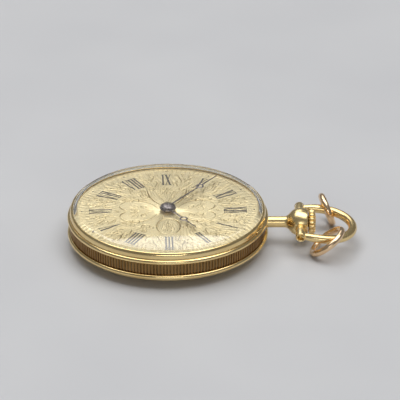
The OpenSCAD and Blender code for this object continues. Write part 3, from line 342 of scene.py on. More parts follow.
def glass():
    """Watch glass. Lamps reach the dial through it, and it carries faint dust and hairlines."""
    f = Finish("crystal_glass", (0.985, 0.99, 0.985), metal=0.0, rough=0.0, IOR=1.5)
    f.b.inputs["Transmission Weight"].default_value = 1.0
    hair = f.noise(700, f.stretched((1, 14, 1), 17), detail=3)
    f.link(f.span(hair, 0.70, 0.80, 0.004, 0.05), f.b.inputs["Roughness"])
    path = f.add("LightPath")
    clear = f.add("BsdfTransparent", Color=(0.96, 0.97, 0.96, 1))
    mix = f.add("MixShader", {"Fac": path.outputs["Is Shadow Ray"]})
    f.link(f.b.outputs[0], mix.inputs[1])
    f.link(clear.outputs[0], mix.inputs[2])
    f.link(mix.outputs[0], f.nt.nodes["Material Output"].inputs["Surface"])
    return f.m


def ground_edge():
    """The fine-ground upright edge of the glass, milky where it sits in the bezel."""
    f = Finish("crystal_edge", (0.74, 0.74, 0.70), metal=0.0, rough=0.5)
    n = f.noise(2200, detail=3)
    return f.use(Base_Color=f.tint(n, [(0.35, (0.62, 0.62, 0.58)), (0.65, (0.82, 0.82, 0.78))]),
                 Roughness=f.span(n, 0.3, 0.7, 0.4, 0.6), Normal=f.bump(n, 0.2, 0.02))


def striped(name, colour, deep, turn=35.0, pitch=1.5):
    """Nickel with the broad wavy stripes of a finished bridge and fine grain inside them."""
    f = Finish(name, colour, rough=0.25)
    v = f.stretched((1, 1, 1), turn)
    x = f.add("SeparateXYZ", {"Vector": v}).outputs["X"]
    saw = f.math("FRACT", f.math("DIVIDE", f.math("ADD", x, f.span(f.noise(60), 0, 1, -0.0002, 0.0002)),
                                 pitch * MM))
    grain = f.noise(2600, f.stretched((1, 12, 1), turn + 90), detail=3)
    level = f.math("ADD", f.math("MULTIPLY", saw, 0.75), f.span(grain, 0.3, 0.7, 0.0, 0.25))
    return f.use(Base_Color=f.tint(level, [(0.0, deep), (1.0, colour)]),
                 Roughness=f.span(level, 0, 1, 0.38, 0.18),
                 Normal=f.bump(grain, 0.15, 0.015, f.bump(saw, 0.35, 0.03)))


def pearled(name, colour, deep, pitch=0.9):
    """A plate ground with overlapping round spots."""
    f = Finish(name, colour, rough=0.3)
    n = f.add("TexVoronoi", {"Vector": f.coords}, feature="F1", Scale=1 / (pitch * MM), Randomness=0.25)
    rings = f.math("SINE", f.math("MULTIPLY", n.outputs["Distance"], 46.0))
    grain = f.noise(3000)
    level = f.math("ADD", f.span(n.outputs["Distance"], 0.0, 0.7, 0.9, 0.15),
                   f.span(rings, -1, 1, -0.08, 0.08))
    return f.use(Base_Color=f.tint(level, [(0.0, deep), (1.0, colour)]),
                 Roughness=f.span(f.math("ADD", rings, grain), -1, 2, 0.2, 0.42),
                 Normal=f.bump(rings, 0.12, 0.01, f.bump(grain, 0.15, 0.01)))


def brushed(name, colour, deep, rough=0.26, turn=0.0, scale=1500):
    """Straight-grained metal."""
    f = Finish(name, colour, rough=rough)
    grain = f.noise(scale, f.stretched((1, 10, 10), turn), detail=4)
    cloud = f.noise(300, detail=3)
    return f.use(Base_Color=f.tint(f.math("MULTIPLY", f.math("ADD", grain, cloud), 0.5),
                                   [(0.32, deep), (0.66, colour)]),
                 Roughness=f.span(grain, 0.3, 0.7, rough * 0.7, rough * 1.35),
                 Normal=f.bump(grain, 0.15, 0.015))


def blued():
    """Heat-blued steel that runs from violet to blue."""
    f = Finish("blued_steel", (0.03, 0.06, 0.30), rough=0.18)
    n = f.noise(340, detail=2)
    g = f.noise(2600, f.stretched((1, 9, 1), 12))
    return f.use(Base_Color=f.tint(n, [(0.3, (0.09, 0.03, 0.20)), (0.5, (0.025, 0.05, 0.30)),
                                       (0.75, (0.03, 0.12, 0.42))]),
                 Roughness=f.span(g, 0.3, 0.7, 0.12, 0.26), Normal=f.bump(g, 0.1, 0.01))


def ruby():
    """Synthetic ruby: red, clear enough to glow, and polished."""
    f = Finish("ruby", (0.62, 0.02, 0.07), metal=0.0, rough=0.08, IOR=1.76)
    f.b.inputs["Coat Weight"].default_value = 0.6
    n = f.noise(1300, detail=3)
    return f.use(Base_Color=f.tint(n, [(0.3, (0.40, 0.008, 0.035)), (0.75, (0.80, 0.05, 0.12))]),
                 Roughness=f.span(n, 0.3, 0.7, 0.05, 0.16))


REED_LOW, REED_TOP = 14.49, 14.63
STEM_Z = 3.4
reeds_mat = reeded()
dial_mat = dial_gold()
enamel_mat = enamel()
hand_mat = hand_steel()
glass_mat = glass()
edge_mat = ground_edge()
nickel = striped("plate_nickel", (0.80, 0.76, 0.68), (0.52, 0.48, 0.41))
pearl = pearled("plate_pearled", (0.80, 0.76, 0.68), (0.55, 0.51, 0.44))
steel = brushed("movement_steel", (0.66, 0.67, 0.69), (0.46, 0.47, 0.50), 0.2, 20)
brass = brushed("wheel_brass", (0.88, 0.68, 0.32), (0.72, 0.51, 0.20), 0.24, 65)
blue = blued()
red = ruby()
inner_gold = brushed("inner_gold", (0.92, 0.71, 0.36), (0.80, 0.58, 0.26), 0.2, 90, 1100)

# ---------------------------------------------------------------- CAD nodes that stay
by_slot = {"case_gold": gold, "rose_gold": rose, "dial_gold": dial_mat, "hand_steel": hand_mat,
           "crystal_glass": glass_mat, "plate_nickel": nickel, "movement_steel": steel,
           "blued_steel": blue, "wheel_brass": brass, "ruby": red}
for name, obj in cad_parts.items():
    for s in obj.material_slots:
        key = s.material.name.split(".")[0] if s.material else ""
        s.material = by_slot.get(key, steel)
for name, mat in (("main_plate", pearl), ("cuvette", inner_gold), ("barrel", brass), ("barrel_cover", brass)):
    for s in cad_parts[name].material_slots:
        s.material = mat

# ---------------------------------------------------------------- case
HINGE_Y, BEZEL_HINGE_Z, BACK_HINGE_Z = 15.04, 4.815, 1.30
KNUCKLE_R, PIN_R, PITCH, LIP_TURN = 0.36, 0.18, 1.1, -23


def knuckle(z, place):
    """A bored hinge knuckle with rounded ends, centred on place along the hinge."""
    gap, e = 0.025, 0.06
    h = PITCH / 2 - gap
    prof = [(PIN_R, -h + e), (PIN_R + e, -h), (KNUCKLE_R - e, -h), (KNUCKLE_R, -h + e),
            (KNUCKLE_R, h - e), (KNUCKLE_R - e, h), (PIN_R + e, h), (PIN_R, h - e)]
    return along_x(lathe(prof, 40, loop=True), place * PITCH, HINGE_Y, z)


def clear(z, places):
    """Cutters that leave room for the other leaf's knuckles."""
    r, h = KNUCKLE_R + 0.03, PITCH / 2 + 0.015
    return [along_x(lathe([(r, -h), (r, h)], 48), p * PITCH, HINGE_Y, z) for p in places]


def pin_hole(z):
    """A cutter along the whole hinge, a little wider than its pin."""
    return along_x(lathe([(PIN_R + 0.005, -3.2), (PIN_R + 0.005, 3.2)], 32), 0, HINGE_Y, z)


def web(place, y0, z0, h):
    """The short plate that carries a knuckle, from y0 to the hinge's line and h high above z0."""
    return block((PITCH - 0.05, HINGE_Y - y0, h), (place * PITCH, (HINGE_Y + y0) / 2, z0 + h / 2), 0.03,
                 segments=2)


BAND_FOOT, BAND_TOP, RUN_OUT = 2.262, 3.998, 0.10
BEAD_AT, BEAD_R, LOW_BEAD_Z, TOP_BEAD_Z = 14.64, 0.36, 1.90, 4.36
WEB_AT, GROOVE_R = 14.3, 14.50
middle = ([(12.8, 1.91), (12.83, 1.88), (13.42, 1.88), (13.45, 1.85), (13.45, 1.61), (13.48, 1.58),
           (14.25, 1.575)]
          + arc((BEAD_AT, LOW_BEAD_Z), BEAD_R, -128, 103, 22) + [(GROOVE_R, BAND_FOOT), (GROOVE_R, BAND_TOP)]
          + arc((BEAD_AT, TOP_BEAD_Z), BEAD_R, -103, 92, 22)
          + [(14.62, 4.785), (14.60, 4.80), (14.37, 4.80), (14.35, 4.82), (14.35, 5.06), (14.33, 5.08),
             (14.22, 5.08), (14.20, 5.06), (14.20, 4.82), (14.18, 4.80), (14.13, 4.80), (14.11, 4.78),
             (14.11, 4.75), (12.83, 4.75), (12.80, 4.72)])
REEDS = 188


def reed(angles, i):
    """Round reeds with sharp valleys, as a share of their full radius. They run out at both ends."""
    r, z = band[i]
    if r < REED_LOW:
        return 1.0
    ease = max(0.0, min(1.0, (z - BAND_FOOT) / RUN_OUT, (BAND_TOP - z) / RUN_OUT)) ** 0.5
    wave = np.abs(np.sin(angles * REEDS / 2)) ** 0.62
    full = (REED_LOW + (REED_TOP - REED_LOW) * wave) / REED_TOP
    return 1.0 - (1.0 - full) * (0.35 + 0.65 * ease) - 0.0045 * (1 - ease)


band = ([(14.40, BAND_FOOT), (REED_TOP, BAND_FOOT), (REED_TOP, 2.285), (REED_TOP, 2.315), (REED_TOP, 2.36)]
        + [(REED_TOP, z) for z in np.linspace(2.6, 3.66, 4)]
        + [(REED_TOP, BAND_TOP - s) for s in (0.098, 0.053, 0.023, 0.0)] + [(14.40, BAND_TOP)])
core = carve([lathe(middle, 320, loop=True)], clear(BEZEL_HINGE_Z, [-1, 1]) + clear(BACK_HINGE_Z, [-1, 0, 1]))
knuckles = [knuckle(BEZEL_HINGE_Z, p) for p in (-2, 0, 2)] + [knuckle(BACK_HINGE_Z, p) for p in (-2, 2)]
webs = [web(p, WEB_AT, BEZEL_HINGE_Z - KNUCKLE_R, 0.33) for p in (-2, 0, 2)]
webs += [web(p, WEB_AT, 1.58, 0.16) for p in (-2, 2)]
webs = carve(webs, [pin_hole(BEZEL_HINGE_Z), pin_hole(BACK_HINGE_Z)])
piece("case_middle", [core] + knuckles + [webs], [gold], "root", ["case_middle"])
piece("case_reeding", [lathe(band, REEDS * 8, loop=True, swell=reed)], [reeds_mat], "root",
      sharp=60)

bezel = ([(14.40, 4.85), (14.42, 4.83), (14.60, 4.83), (14.635, 4.86), (14.64, 5.05), (14.634, 5.20),
          (14.61, 5.33), (14.575, 5.45), (14.53, 5.55), (14.475, 5.635), (14.42, 5.70), (14.37, 5.735),
          (14.32, 5.75), (14.27, 5.748), (14.235, 5.73), (14.21, 5.70), (14.20, 5.66)]
         + [(14.20, 5.32), (14.18, 5.30), (13.93, 5.30), (13.90, 5.28), (13.90, 5.18), (13.92, 5.16),
            (14.38, 5.16), (14.40, 5.14)])
lip = block((0.42, 1.6, 0.17), (14.64, 0, 4.93), 0.075, turn=LIP_TURN, segments=4)
ring = carve([lathe(bezel, 320, loop=True)], clear(BEZEL_HINGE_Z, [-2, 0, 2]))
webs = carve([web(p, 14.45, 4.845, 0.33) for p in (-1, 1)], [pin_hole(BEZEL_HINGE_Z)])
piece("bezel", [ring, lip, webs] + [knuckle(BEZEL_HINGE_Z, p) for p in (-1, 1)], [gold], "bezel_group",
      ["bezel"])


DOME_RISE, OUT_AT, OUT_BEND, IN_AT, IN_BEND = 0.45, (13.59, 5.60), 0.60, (13.39, 5.40), 0.50
EDGE_R, EDGE_TOP = 14.10, 5.62


def dome(r, shoulder, bend):
    """Height of the glass's low dome at radius r, where it rises from the top of its rounded shoulder."""
    return shoulder[1] + bend + DOME_RISE * (1 - (r / shoulder[0]) ** 2)


outer = [(14.17, 5.312), (14.19, 5.33), (14.19, 5.60)] + arc(OUT_AT, OUT_BEND, 6, 84, 14)
outer += [(r, dome(r, OUT_AT, OUT_BEND)) for r in (13.45, 13.0, 12.0, 10.5, 8.5, 6.5, 4.5, 2.5, 0.05)]
inner = [(r, dome(r, IN_AT, IN_BEND)) for r in (0.05, 2.5, 4.5, 6.5, 8.5, 10.5, 12.0, 13.0, 13.3)]
inner += arc(IN_AT, IN_BEND, 84, 6, 14)
inner += [(13.89, 5.40), (13.89, 5.325), (13.905, 5.312)]
crystal = piece("crystal", [lathe(outer + inner, 256, loop=True)], [glass_mat, edge_mat], "bezel_group",
                ["crystal"], sharp=40)
for face in crystal.data.polygons:
    if math.hypot(face.center.x, face.center.y) > EDGE_R * MM and face.center.z < EDGE_TOP * MM:
        face.material_index = 1

BEND, FLAT_R, BACK_T = 28.65, 6.0, 0.3


def belly(r):
    """Height of the back's outside at radius r, beyond its flat middle."""
    return BEND - math.sqrt(BEND * BEND - (r - FLAT_R) ** 2)


dish = [(0.05, 0.0), (3.0, 0.0), (5.6, 0.0)] + [(r, belly(r)) for r in np.linspace(6.2, 14.38, 26)]
dish += [(14.46, 1.285), (14.495, 1.33), (14.50, 1.38), (14.50, 1.50), (14.47, 1.54), (14.20, 1.54),
         (14.15, 1.50)]
dish += [(r, belly(r) + BACK_T) for r in np.linspace(13.7, 6.2, 20)] + [(5.6, BACK_T), (0.05, BACK_T)]
cover = carve([lathe(dish, 320, loop=True)],
              clear(BACK_HINGE_Z, [-2, 0, 2]) + [block((PITCH, 3, 1), (0, 14.8, 1.54), 0.01)])
lip = block((0.46, 1.6, 0.17), (14.5, 0, 1.43), 0.07, turn=LIP_TURN, segments=4)
webs = carve([web(p, 14.0, BACK_HINGE_Z - 0.2, 0.36) for p in (-1, 1)], [pin_hole(BACK_HINGE_Z)])
piece("back_cover", [cover, lip, webs] + [knuckle(BACK_HINGE_Z, p) for p in (-1, 1)], [gold], "back_group",
      ["back_cover"])

# ---------------------------------------------------------------- pendant, crown, bow and rings
PIVOT_X = 19.75
cup = [(0.42, 13.85), (0.84, 13.85), (0.84, 15.0), (0.835, 16.6), (0.84, 17.3), (0.86, 17.55), (0.93, 17.78),
       (1.10, 18.0), (1.33, 18.2), (1.56, 18.42), (1.75, 18.65), (1.91, 18.93), (2.02, 19.22), (2.08, 19.5),
       (2.10, 19.75), (2.09, 20.0), (2.05, 20.3), (1.98, 20.6), (1.93, 20.78), (1.89, 20.85), (1.84, 20.88),
       (1.66, 20.88), (1.60, 20.84), (1.56, 20.7), (1.50, 20.2), (1.50, 18.85), (1.45, 18.80), (0.42, 18.80)]
piece("pendant", [on_stem(lathe(cup, 128, loop=True))], [satin], "root", ["pendant"], sharp=50)

FLUTES, CROWN_X, SLEEVE_X = 17, 21.0, 19.98
knob = ([(0.82, 0.0), (1.38, 0.0), (1.56, 0.025), (1.70, 0.09), (1.80, 0.19), (1.85, 0.33), (1.87, 0.49),
         (1.86, 0.64), (1.81, 0.78), (1.72, 0.885), (1.60, 0.955), (1.46, 1.005), (1.28, 1.04), (1.05, 1.07),
         (0.8, 1.085), (0.5, 1.095), (0.05, 1.10)])


def flute(angles, i):
    """Rounded flutes that are deepest round the knob's waist and run out towards its dome."""
    deep = {2: 0.06, 3: 0.15, 4: 0.19, 5: 0.20, 6: 0.20, 7: 0.20, 8: 0.20, 9: 0.19, 10: 0.17, 11: 0.12,
            12: 0.05}.get(i, 0.0)
    wave = 1 - np.abs(np.sin(angles * FLUTES / 2)) ** 0.55
    return 1 - deep * wave


sleeve = [(0.36, SLEEVE_X - CROWN_X), (0.80, SLEEVE_X - CROWN_X), (0.80, -0.05), (0.83, 0.02)]
crown = [on_stem((v + [0, 0, CROWN_X], f))
         for v, f in (lathe(knob, FLUTES * 20, swell=flute, turn=7), lathe(sleeve, 64))]
piece("crown", crown, [satin], "stem_group", ["crown"], sharp=55)

# The bow is a half ring with a nearly straight arm to each knuckle, and it droops from its pivot
DROOP, BOW_X, BOW_R, ARM_R, ARM_L, WIRE_X = 6.8, 22.9, 4.85, 10.2, 3.0, 19.95
THIN, SWELL = 0.36, 0.30
pivot = Matrix.Translation((PIVOT_X, 0, STEM_Z))
droop = pivot @ Matrix.Rotation(math.radians(DROOP), 4, "Y") @ pivot.inverted()
right_arm = [(BOW_X - ARM_R * math.sin(a), BOW_R - ARM_R + ARM_R * math.cos(a), STEM_Z)
             for a in np.linspace(0, math.asin(ARM_L / ARM_R), 14)[1:]]
path = [(x, -y, z) for x, y, z in right_arm[::-1]]
for a in np.radians(np.linspace(-90, 90, 61)):
    r = BOW_R - 0.075 * math.cos(a) ** 2
    path.append((BOW_X + r * math.cos(a), r * math.sin(a), STEM_Z))
path = np.array(path + right_arm)
reach = np.clip((path[:, 0] - WIRE_X) / (BOW_X + BOW_R - WIRE_X) / 0.45, 0, 1)
wire = THIN + SWELL * reach ** 0.8 * (2 - reach)
TUBE_R, BORE_R, IN_Y, OUT_Y = 0.75, 0.5, 2.22, 5.1
tube = [(BORE_R, IN_Y + 0.06), (BORE_R + 0.05, IN_Y), (TUBE_R - 0.08, IN_Y), (TUBE_R - 0.02, IN_Y + 0.03),
        (TUBE_R, IN_Y + 0.10), (TUBE_R, 3.4), (TUBE_R, OUT_Y - 0.16), (TUBE_R - 0.03, OUT_Y - 0.06),
        (TUBE_R - 0.09, OUT_Y), (BORE_R + 0.07, OUT_Y), (BORE_R, OUT_Y - 0.07)]
bow = [sweep(path, wire)]
bow += [along_y(lathe(tube, 64, loop=True), PIVOT_X, STEM_Z, s) for s in (1, -1)]
piece("bow", [put(p, droop) for p in bow], [satin], "bow_group", ["bow"], sharp=50)

stud = [(0.44, 1.56), (0.445, 2.2), (0.445, 4.30), (0.42, 4.37), (0.37, 4.40)]
screws = [carve([along_y(lathe(stud, 48), PIVOT_X, STEM_Z, s)],
                [block((2, 0.3, 0.13), (PIVOT_X, s * 4.42, STEM_Z), 0.01)])
          for s in (1, -1)]
piece("bow_screws", screws, [satin], "root", ["bow_screws"], sharp=40)


RING_WIRE = 1.0


def jump_ring(name, body, outer_d, at, tilt, turn, seam):
    """A closed ring of round wire with the hairline of its butt joint, a little flat where it was gripped."""
    r = (outer_d - RING_WIRE) / 2
    gap = 0.012 / r
    t = np.linspace(gap, TAU - gap, 180) + math.radians(seam)
    path = np.stack([r * np.cos(t), r * np.sin(t), 0 * t], -1)
    near = np.minimum(t - t[0], t[-1] - t) * r
    wire = 0.506 - 0.03 * np.exp(-((near / 0.05) ** 2)) - 0.008 * (1 + np.sin(5 * t))
    m = Matrix.Translation(at) @ Matrix.Rotation(math.radians(turn), 4, "Z")
    m = m @ Matrix.Rotation(math.radians(tilt), 4, "Y")
    return piece(name, [put(sweep(path, wire), m)], [rose], body, [name], sharp=50)


jump_ring("jump_ring_far", "far_ring_group", 5.3, (23.95, 5.6, 2.55), 70.7, 10.4, 200)
jump_ring("jump_ring_near", "near_ring_group", 6.3, (23.72, -3.93, 2.155), 38.5, 170.2, 62)

# ---------------------------------------------------------------- dial: an engraved disc
DIAL_R, DIAL_Z, HOLE_R, DISC_LOW = 14.05, 5.10, 0.67, 5.02
DIAL_TURN = 1.7
CUT_DEPTH, GROUND_DEPTH = 0.60, 0.018


def bez(p0, p1, p2, p3, n=40):
    """A cubic curve of n points."""
    t = np.linspace(0, 1, n)[:, None]
    p0, p1, p2, p3 = map(np.asarray, (p0, p1, p2, p3))
    return (1 - t) ** 3 * p0 + 3 * (1 - t) ** 2 * t * p1 + 3 * (1 - t) * t * t * p2 + t ** 3 * p3


def volute(centre, r, start, turns, hand, n=60):
    """A scroll that winds inwards from radius r, starting at the angle start."""
    t = np.linspace(0, 1, n)
    a = math.radians(start) + hand * t * turns * TAU
    rr = r * (1 - 0.82 * t ** 0.9)
    return np.stack([centre[0] + rr * np.cos(a), centre[1] + rr * np.sin(a)], -1)


def leaf(root, tip, belly):
    """Two edges and a midrib from root to tip. belly is how far the edges bow to either side."""
    root, tip = np.array(root, float), np.array(tip, float)
    d = tip - root
    side = np.array([-d[1], d[0]])
    out = []
    for s, w in ((belly, 0.085), (-belly, 0.085), (belly * 0.12, 0.05)):
        out.append((bez(root, root + d * 0.3 + side * s, root + d * 0.7 + side * s, tip), w))
    return out


def flower(centre, r, petals, turn=0.0):
    """A rosette: petals with a midrib each round a small eye."""
    out = []
    for i in range(petals):
        a = math.radians(turn + 360 / petals * i)
        d = np.array([math.cos(a), math.sin(a)])
        out += leaf(centre + d * r * 0.22, centre + d * r, 0.42)
    t = np.linspace(0, TAU, 24)
    out.append((np.stack([centre[0] + 0.17 * r * np.cos(t), centre[1] + 0.17 * r * np.sin(t)], -1), 0.07))
    return out


def oval(centre, a, b, w):
    """A stroke w wide round an oval, a along u and b across."""
    t = np.linspace(0, TAU, 120)
    return [(np.stack([centre[0] + a * np.cos(t), centre[1] + b * np.sin(t)], -1), w)]


def mirrored(strokes):
    """Strokes and their mirror image across the line v = 0."""
    return strokes + [(p * [1, -1], w) for p, w in strokes]


def turned(strokes, degrees):
    """Strokes turned about the dial's centre."""
    a = math.radians(degrees)
    m = np.array([[math.cos(a), math.sin(a)], [-math.sin(a), math.cos(a)]])
    return [(p @ m, w) for p, w in strokes]


def acanthus():
    """A scroll with leaves along its outside, to one side of the line +u. u is outwards, v across."""
    out = [(bez((1.5, 0.25), (2.6, 1.9), (4.6, 2.9), (6.3, 1.75)), 0.13),
           (volute((5.75, 1.15), 0.85, 48, 1.7, -1), 0.12),
           (bez((1.7, 0.9), (2.4, 2.2), (3.4, 3.0), (4.6, 3.3)), 0.09),
           (volute((4.35, 2.75), 0.55, 66, 1.4, -1), 0.09)]
    for k in range(6):
        s = 2.0 + k * 0.75
        out += leaf((s, 0.35 + 1.35 * math.sin(k * 0.5 + 0.2)),
                    (s + 0.95, 0.95 + 1.9 * math.sin(k * 0.45 + 0.45)), 0.28)
    out += leaf((6.4, 1.5), (7.5, 2.35), 0.3) + leaf((6.5, 1.2), (7.8, 1.1),
                                                     0.28) + leaf((6.3, 0.8), (7.5, 0.25), 0.26)
    out += [(bez((2.2, 0.0), (3.4, 0.55), (4.4, -0.1), (5.2, 0.35)), 0.07)]
    return out


def border():
    """A scroll unit between two numerals, from r 7.8 to 12.2, to one side of +u."""
    out = [(bez((7.7, 0.0), (8.6, 0.9), (9.4, 1.25), (10.2, 0.8)), 0.10),
           (volute((9.75, 0.62), 0.50, 22, 1.5, -1), 0.09),
           (bez((9.3, 0.05), (10.4, 0.3), (11.3, 1.5), (11.9, 0.95)), 0.10),
           (volute((11.45, 0.85), 0.46, 12, 1.4, -1), 0.08)]
    for a, b in (((8.2, 0.55), (8.9, 1.35)), ((8.8, 0.95), (9.6, 1.62)), ((10.4, 0.6), (10.75, 1.55)),
                 ((11.2, 1.3), (11.9, 1.75)), ((11.8, 0.4), (12.4, 0.9)), ((10.1, 0.1), (11.0, 0.42))):
        out += leaf(a, b, 0.26)
    return out


def cartouche():
    """A heart-like shield round a flower, for the zones at VI and XII."""
    out = [(bez((1.6, 0.9), (2.4, 3.4), (6.2, 4.6), (7.1, 1.9)), 0.15),
           (bez((7.1, 1.9), (7.3, 0.9), (6.4, 0.4), (5.9, 0.0)), 0.14),
           (bez((2.3, 0.9), (3.0, 2.8), (5.7, 3.7), (6.6, 1.9)), 0.07),
           (volute((3.5, 1.35), 0.62, 150, 1.6, -1), 0.10),
           (bez((2.0, 0.25), (2.9, 0.3), (3.6, 0.6), (3.9, 1.75)), 0.09)]
    out += leaf((4.3, 1.0), (5.4, 2.2), 0.25) + leaf((4.4, 0.6), (5.9, 1.3),
                                                     0.22) + leaf((5.0, 2.9), (5.9, 3.7), 0.3)
    out += leaf((3.7, 3.2), (4.3, 4.2), 0.3) + leaf((6.3, 3.0), (7.3, 3.3), 0.3)
    return out


def bell():
    """Two flaring curves and a flower between them, for the zone at IX."""
    out = [(bez((1.3, 0.6), (2.6, 1.3), (3.2, 2.9), (7.4, 3.0)), 0.15),
           (volute((7.0, 2.35), 0.66, 82, 1.6, -1), 0.11),
           (bez((1.9, 0.45), (3.3, 1.0), (3.8, 2.3), (6.4, 2.5)), 0.07)]
    for k in range(5):
        out += leaf((2.6 + k * 0.75, 0.15 + 0.18 * k), (3.6 + k * 0.75, 0.55 + 0.34 * k), 0.26)
    out += leaf((3.4, 2.6), (4.2, 3.7), 0.3) + leaf((4.7, 3.0), (5.6, 4.0), 0.3)
    return out


def medallion():
    """An oval with a flower on its stalk, for the zone at III."""
    at = 5.0
    out = oval((at, 0.0), 2.5, 1.75, 0.15) + oval((at, 0.0), 2.22, 1.48, 0.06)
    out += flower(np.array([at + 0.55, 0.0]), 1.12, 8, 10)
    out += [(bez((at - 2.0, 0.1), (at - 1.3, -0.2), (at - 0.9, 0.2), (at - 0.4, 0.0)), 0.08)]
    for s in (1, -1):
        out += leaf((at - 1.5, 0.0), (at - 0.7, 0.75 * s), 0.3)
        for k in range(9):
            a = math.radians(20 + 17.5 * k) * s
            d = np.array([math.cos(a), math.sin(a)])
            c = np.array([at, 0])
            out += [(bez(c + d * [2.6, 1.86], c + d * [2.9, 2.3] + 0.1, c + d * [3.2, 2.5],
                         c + d * [3.15, 2.75] + [0.15, 0.1 * s]), 0.07)]
    return out


def flourish():
    """Plain pen flourishes across the dial between the centre and XII."""
    out = []
    for u, w, l in ((4.35, 0.07, 1.5), (5.2, 0.09, 2.6), (6.0, 0.06, 1.2)):
        out += [(bez((u, 0.0), (u + 0.7, l * 0.35), (u - 0.7, l * 0.7), (u, l)), w)]
    out += [(volute((5.2, 2.35), 0.36, -90, 1.2, 1), 0.07)]
    return out


RASTER = 0.034
SIZE = int(2 * DIAL_R / RASTER) + 8
cuts = np.full(SIZE * SIZE, -1.0, np.float32)


def engrave(strokes, keep=None):
    """Cuts V grooves, as wide as w in a stroke's middle and thin at its ends, only where keep(x, y) holds."""
    xs, ys, ws = [], [], []
    for p, w in strokes:
        step = np.linalg.norm(np.diff(p, axis=0), axis=1)
        s = np.concatenate([[0], np.cumsum(step)])
        n = max(4, int(s[-1] / 0.03))
        t = np.linspace(0, s[-1], n)
        x, y = np.interp(t, s, p[:, 0]), np.interp(t, s, p[:, 1])
        f = t / max(s[-1], 1e-6)
        width = w * (0.30 + 0.70 * np.sin(math.pi * np.clip(f, 0.0, 1.0)) ** 0.7)
        xs.append(x)
        ys.append(y)
        ws.append(width)
    x, y, w = np.concatenate(xs), np.concatenate(ys), np.concatenate(ws)
    ok = (np.hypot(x, y) < DIAL_R - 0.3) & (np.hypot(x, y) > 1.0)
    if keep is not None:
        ok &= keep(x, y)
    x, y, w = x[ok], y[ok], w[ok]
    ci, cj = np.round(x / RASTER).astype(int) + SIZE // 2, np.round(y / RASTER).astype(int) + SIZE // 2
    reach = 6
    for di in range(-reach, reach + 1):
        for dj in range(-reach, reach + 1):
            i, j = ci + di, cj + dj
            d = np.hypot((i - SIZE // 2) * RASTER - x, (j - SIZE // 2) * RASTER - y)
            hit = d < w
            np.maximum.at(cuts, i[hit] * SIZE + j[hit], (w - d)[hit].astype(np.float32))


def in_zone(x, y, hour_angle, u0, a, b):
    """True inside an oval about the point u0 out along a direction, a along it and b across."""
    c, s = math.cos(math.radians(hour_angle)), math.sin(math.radians(hour_angle))
    u, v = x * c + y * s - u0, -x * s + y * c
    return (u / a) ** 2 + (v / b) ** 2 < 1


III, VI, IX, XII = (a + DIAL_TURN for a in (-90, 180, 90, 0))
engrave(turned(medallion(), III))
engrave(turned(mirrored(cartouche()), VI) + turned(flower(np.array([4.9, 0.0]), 0.8, 6), VI))
engrave(turned(mirrored(cartouche()), XII) + turned(mirrored(flourish()), XII))
engrave(turned(mirrored(bell()), IX) + turned(flower(np.array([6.5, 0.0]), 1.2, 8, 22), IX))


def diagonal_ok(x, y):
    """True outside the four ovals that hold the large ornaments."""
    return ~(in_zone(x, y, III, 5.0, 2.8, 2.1) | in_zone(x, y, VI, 4.4, 2.9, 3.0)
             | in_zone(x, y, XII, 4.4, 2.9, 3.0) | in_zone(x, y, IX, 5.2, 3.4, 2.3))


for a in (-45, -135, 135, 45):
    engrave(turned(mirrored(acanthus()), a + DIAL_TURN), diagonal_ok)
for h in range(12):
    engrave(turned(mirrored(border()), DIAL_TURN - 30 * h - 15))
    a = DIAL_TURN - 30 * h
    engrave(turned(flower(np.array([7.4, 0.0]), 0.42, 6, 15), a), diagonal_ok)
fringe = []
for k in range(120):
    fringe += turned([(bez((12.5, 0.0), (12.9, 0.14), (13.3, 0.20), (13.7, 0.06), 16), 0.075)], 3 * k)
engrave(fringe)
veins = []
for k in range(180):
    for r0, r1 in ((8.0, 9.6), (10.0, 11.9)):
        w = 0.10 * math.sin(2.1 * k)
        veins += turned([(bez((r0 + w, 0.0), (r0 + 0.5, 0.10), (r1 - 0.5, -0.10), (r1 - w, 0.05), 18),
                          0.045)], 2 * k + r0 * 3)
engrave(veins)
cuts = np.clip(cuts, 0, None).reshape(SIZE, SIZE)


def depth_at(x, y):
    """Depth of the engraving in mm, read smoothly from the cuts, with the wavy flutes of the ground."""
    u, v = x / RASTER + SIZE // 2, y / RASTER + SIZE // 2
    i, j = np.floor(u).astype(int), np.floor(v).astype(int)
    fu, fv = u - i, v - j
    g = (cuts[i, j] * (1 - fu) * (1 - fv) + cuts[i + 1, j] * fu * (1 - fv)
         + cuts[i, j + 1] * (1 - fu) * fv + cuts[i + 1, j + 1] * fu * fv)
    r, a = np.hypot(x, y), np.arctan2(y, x)
    ground = 0.5 + 0.5 * np.sin(96 * a + 5.0 * np.sin(0.9 * r) + 2.0 * np.sin(7 * a))
    return g * CUT_DEPTH + GROUND_DEPTH * ground, g, ground


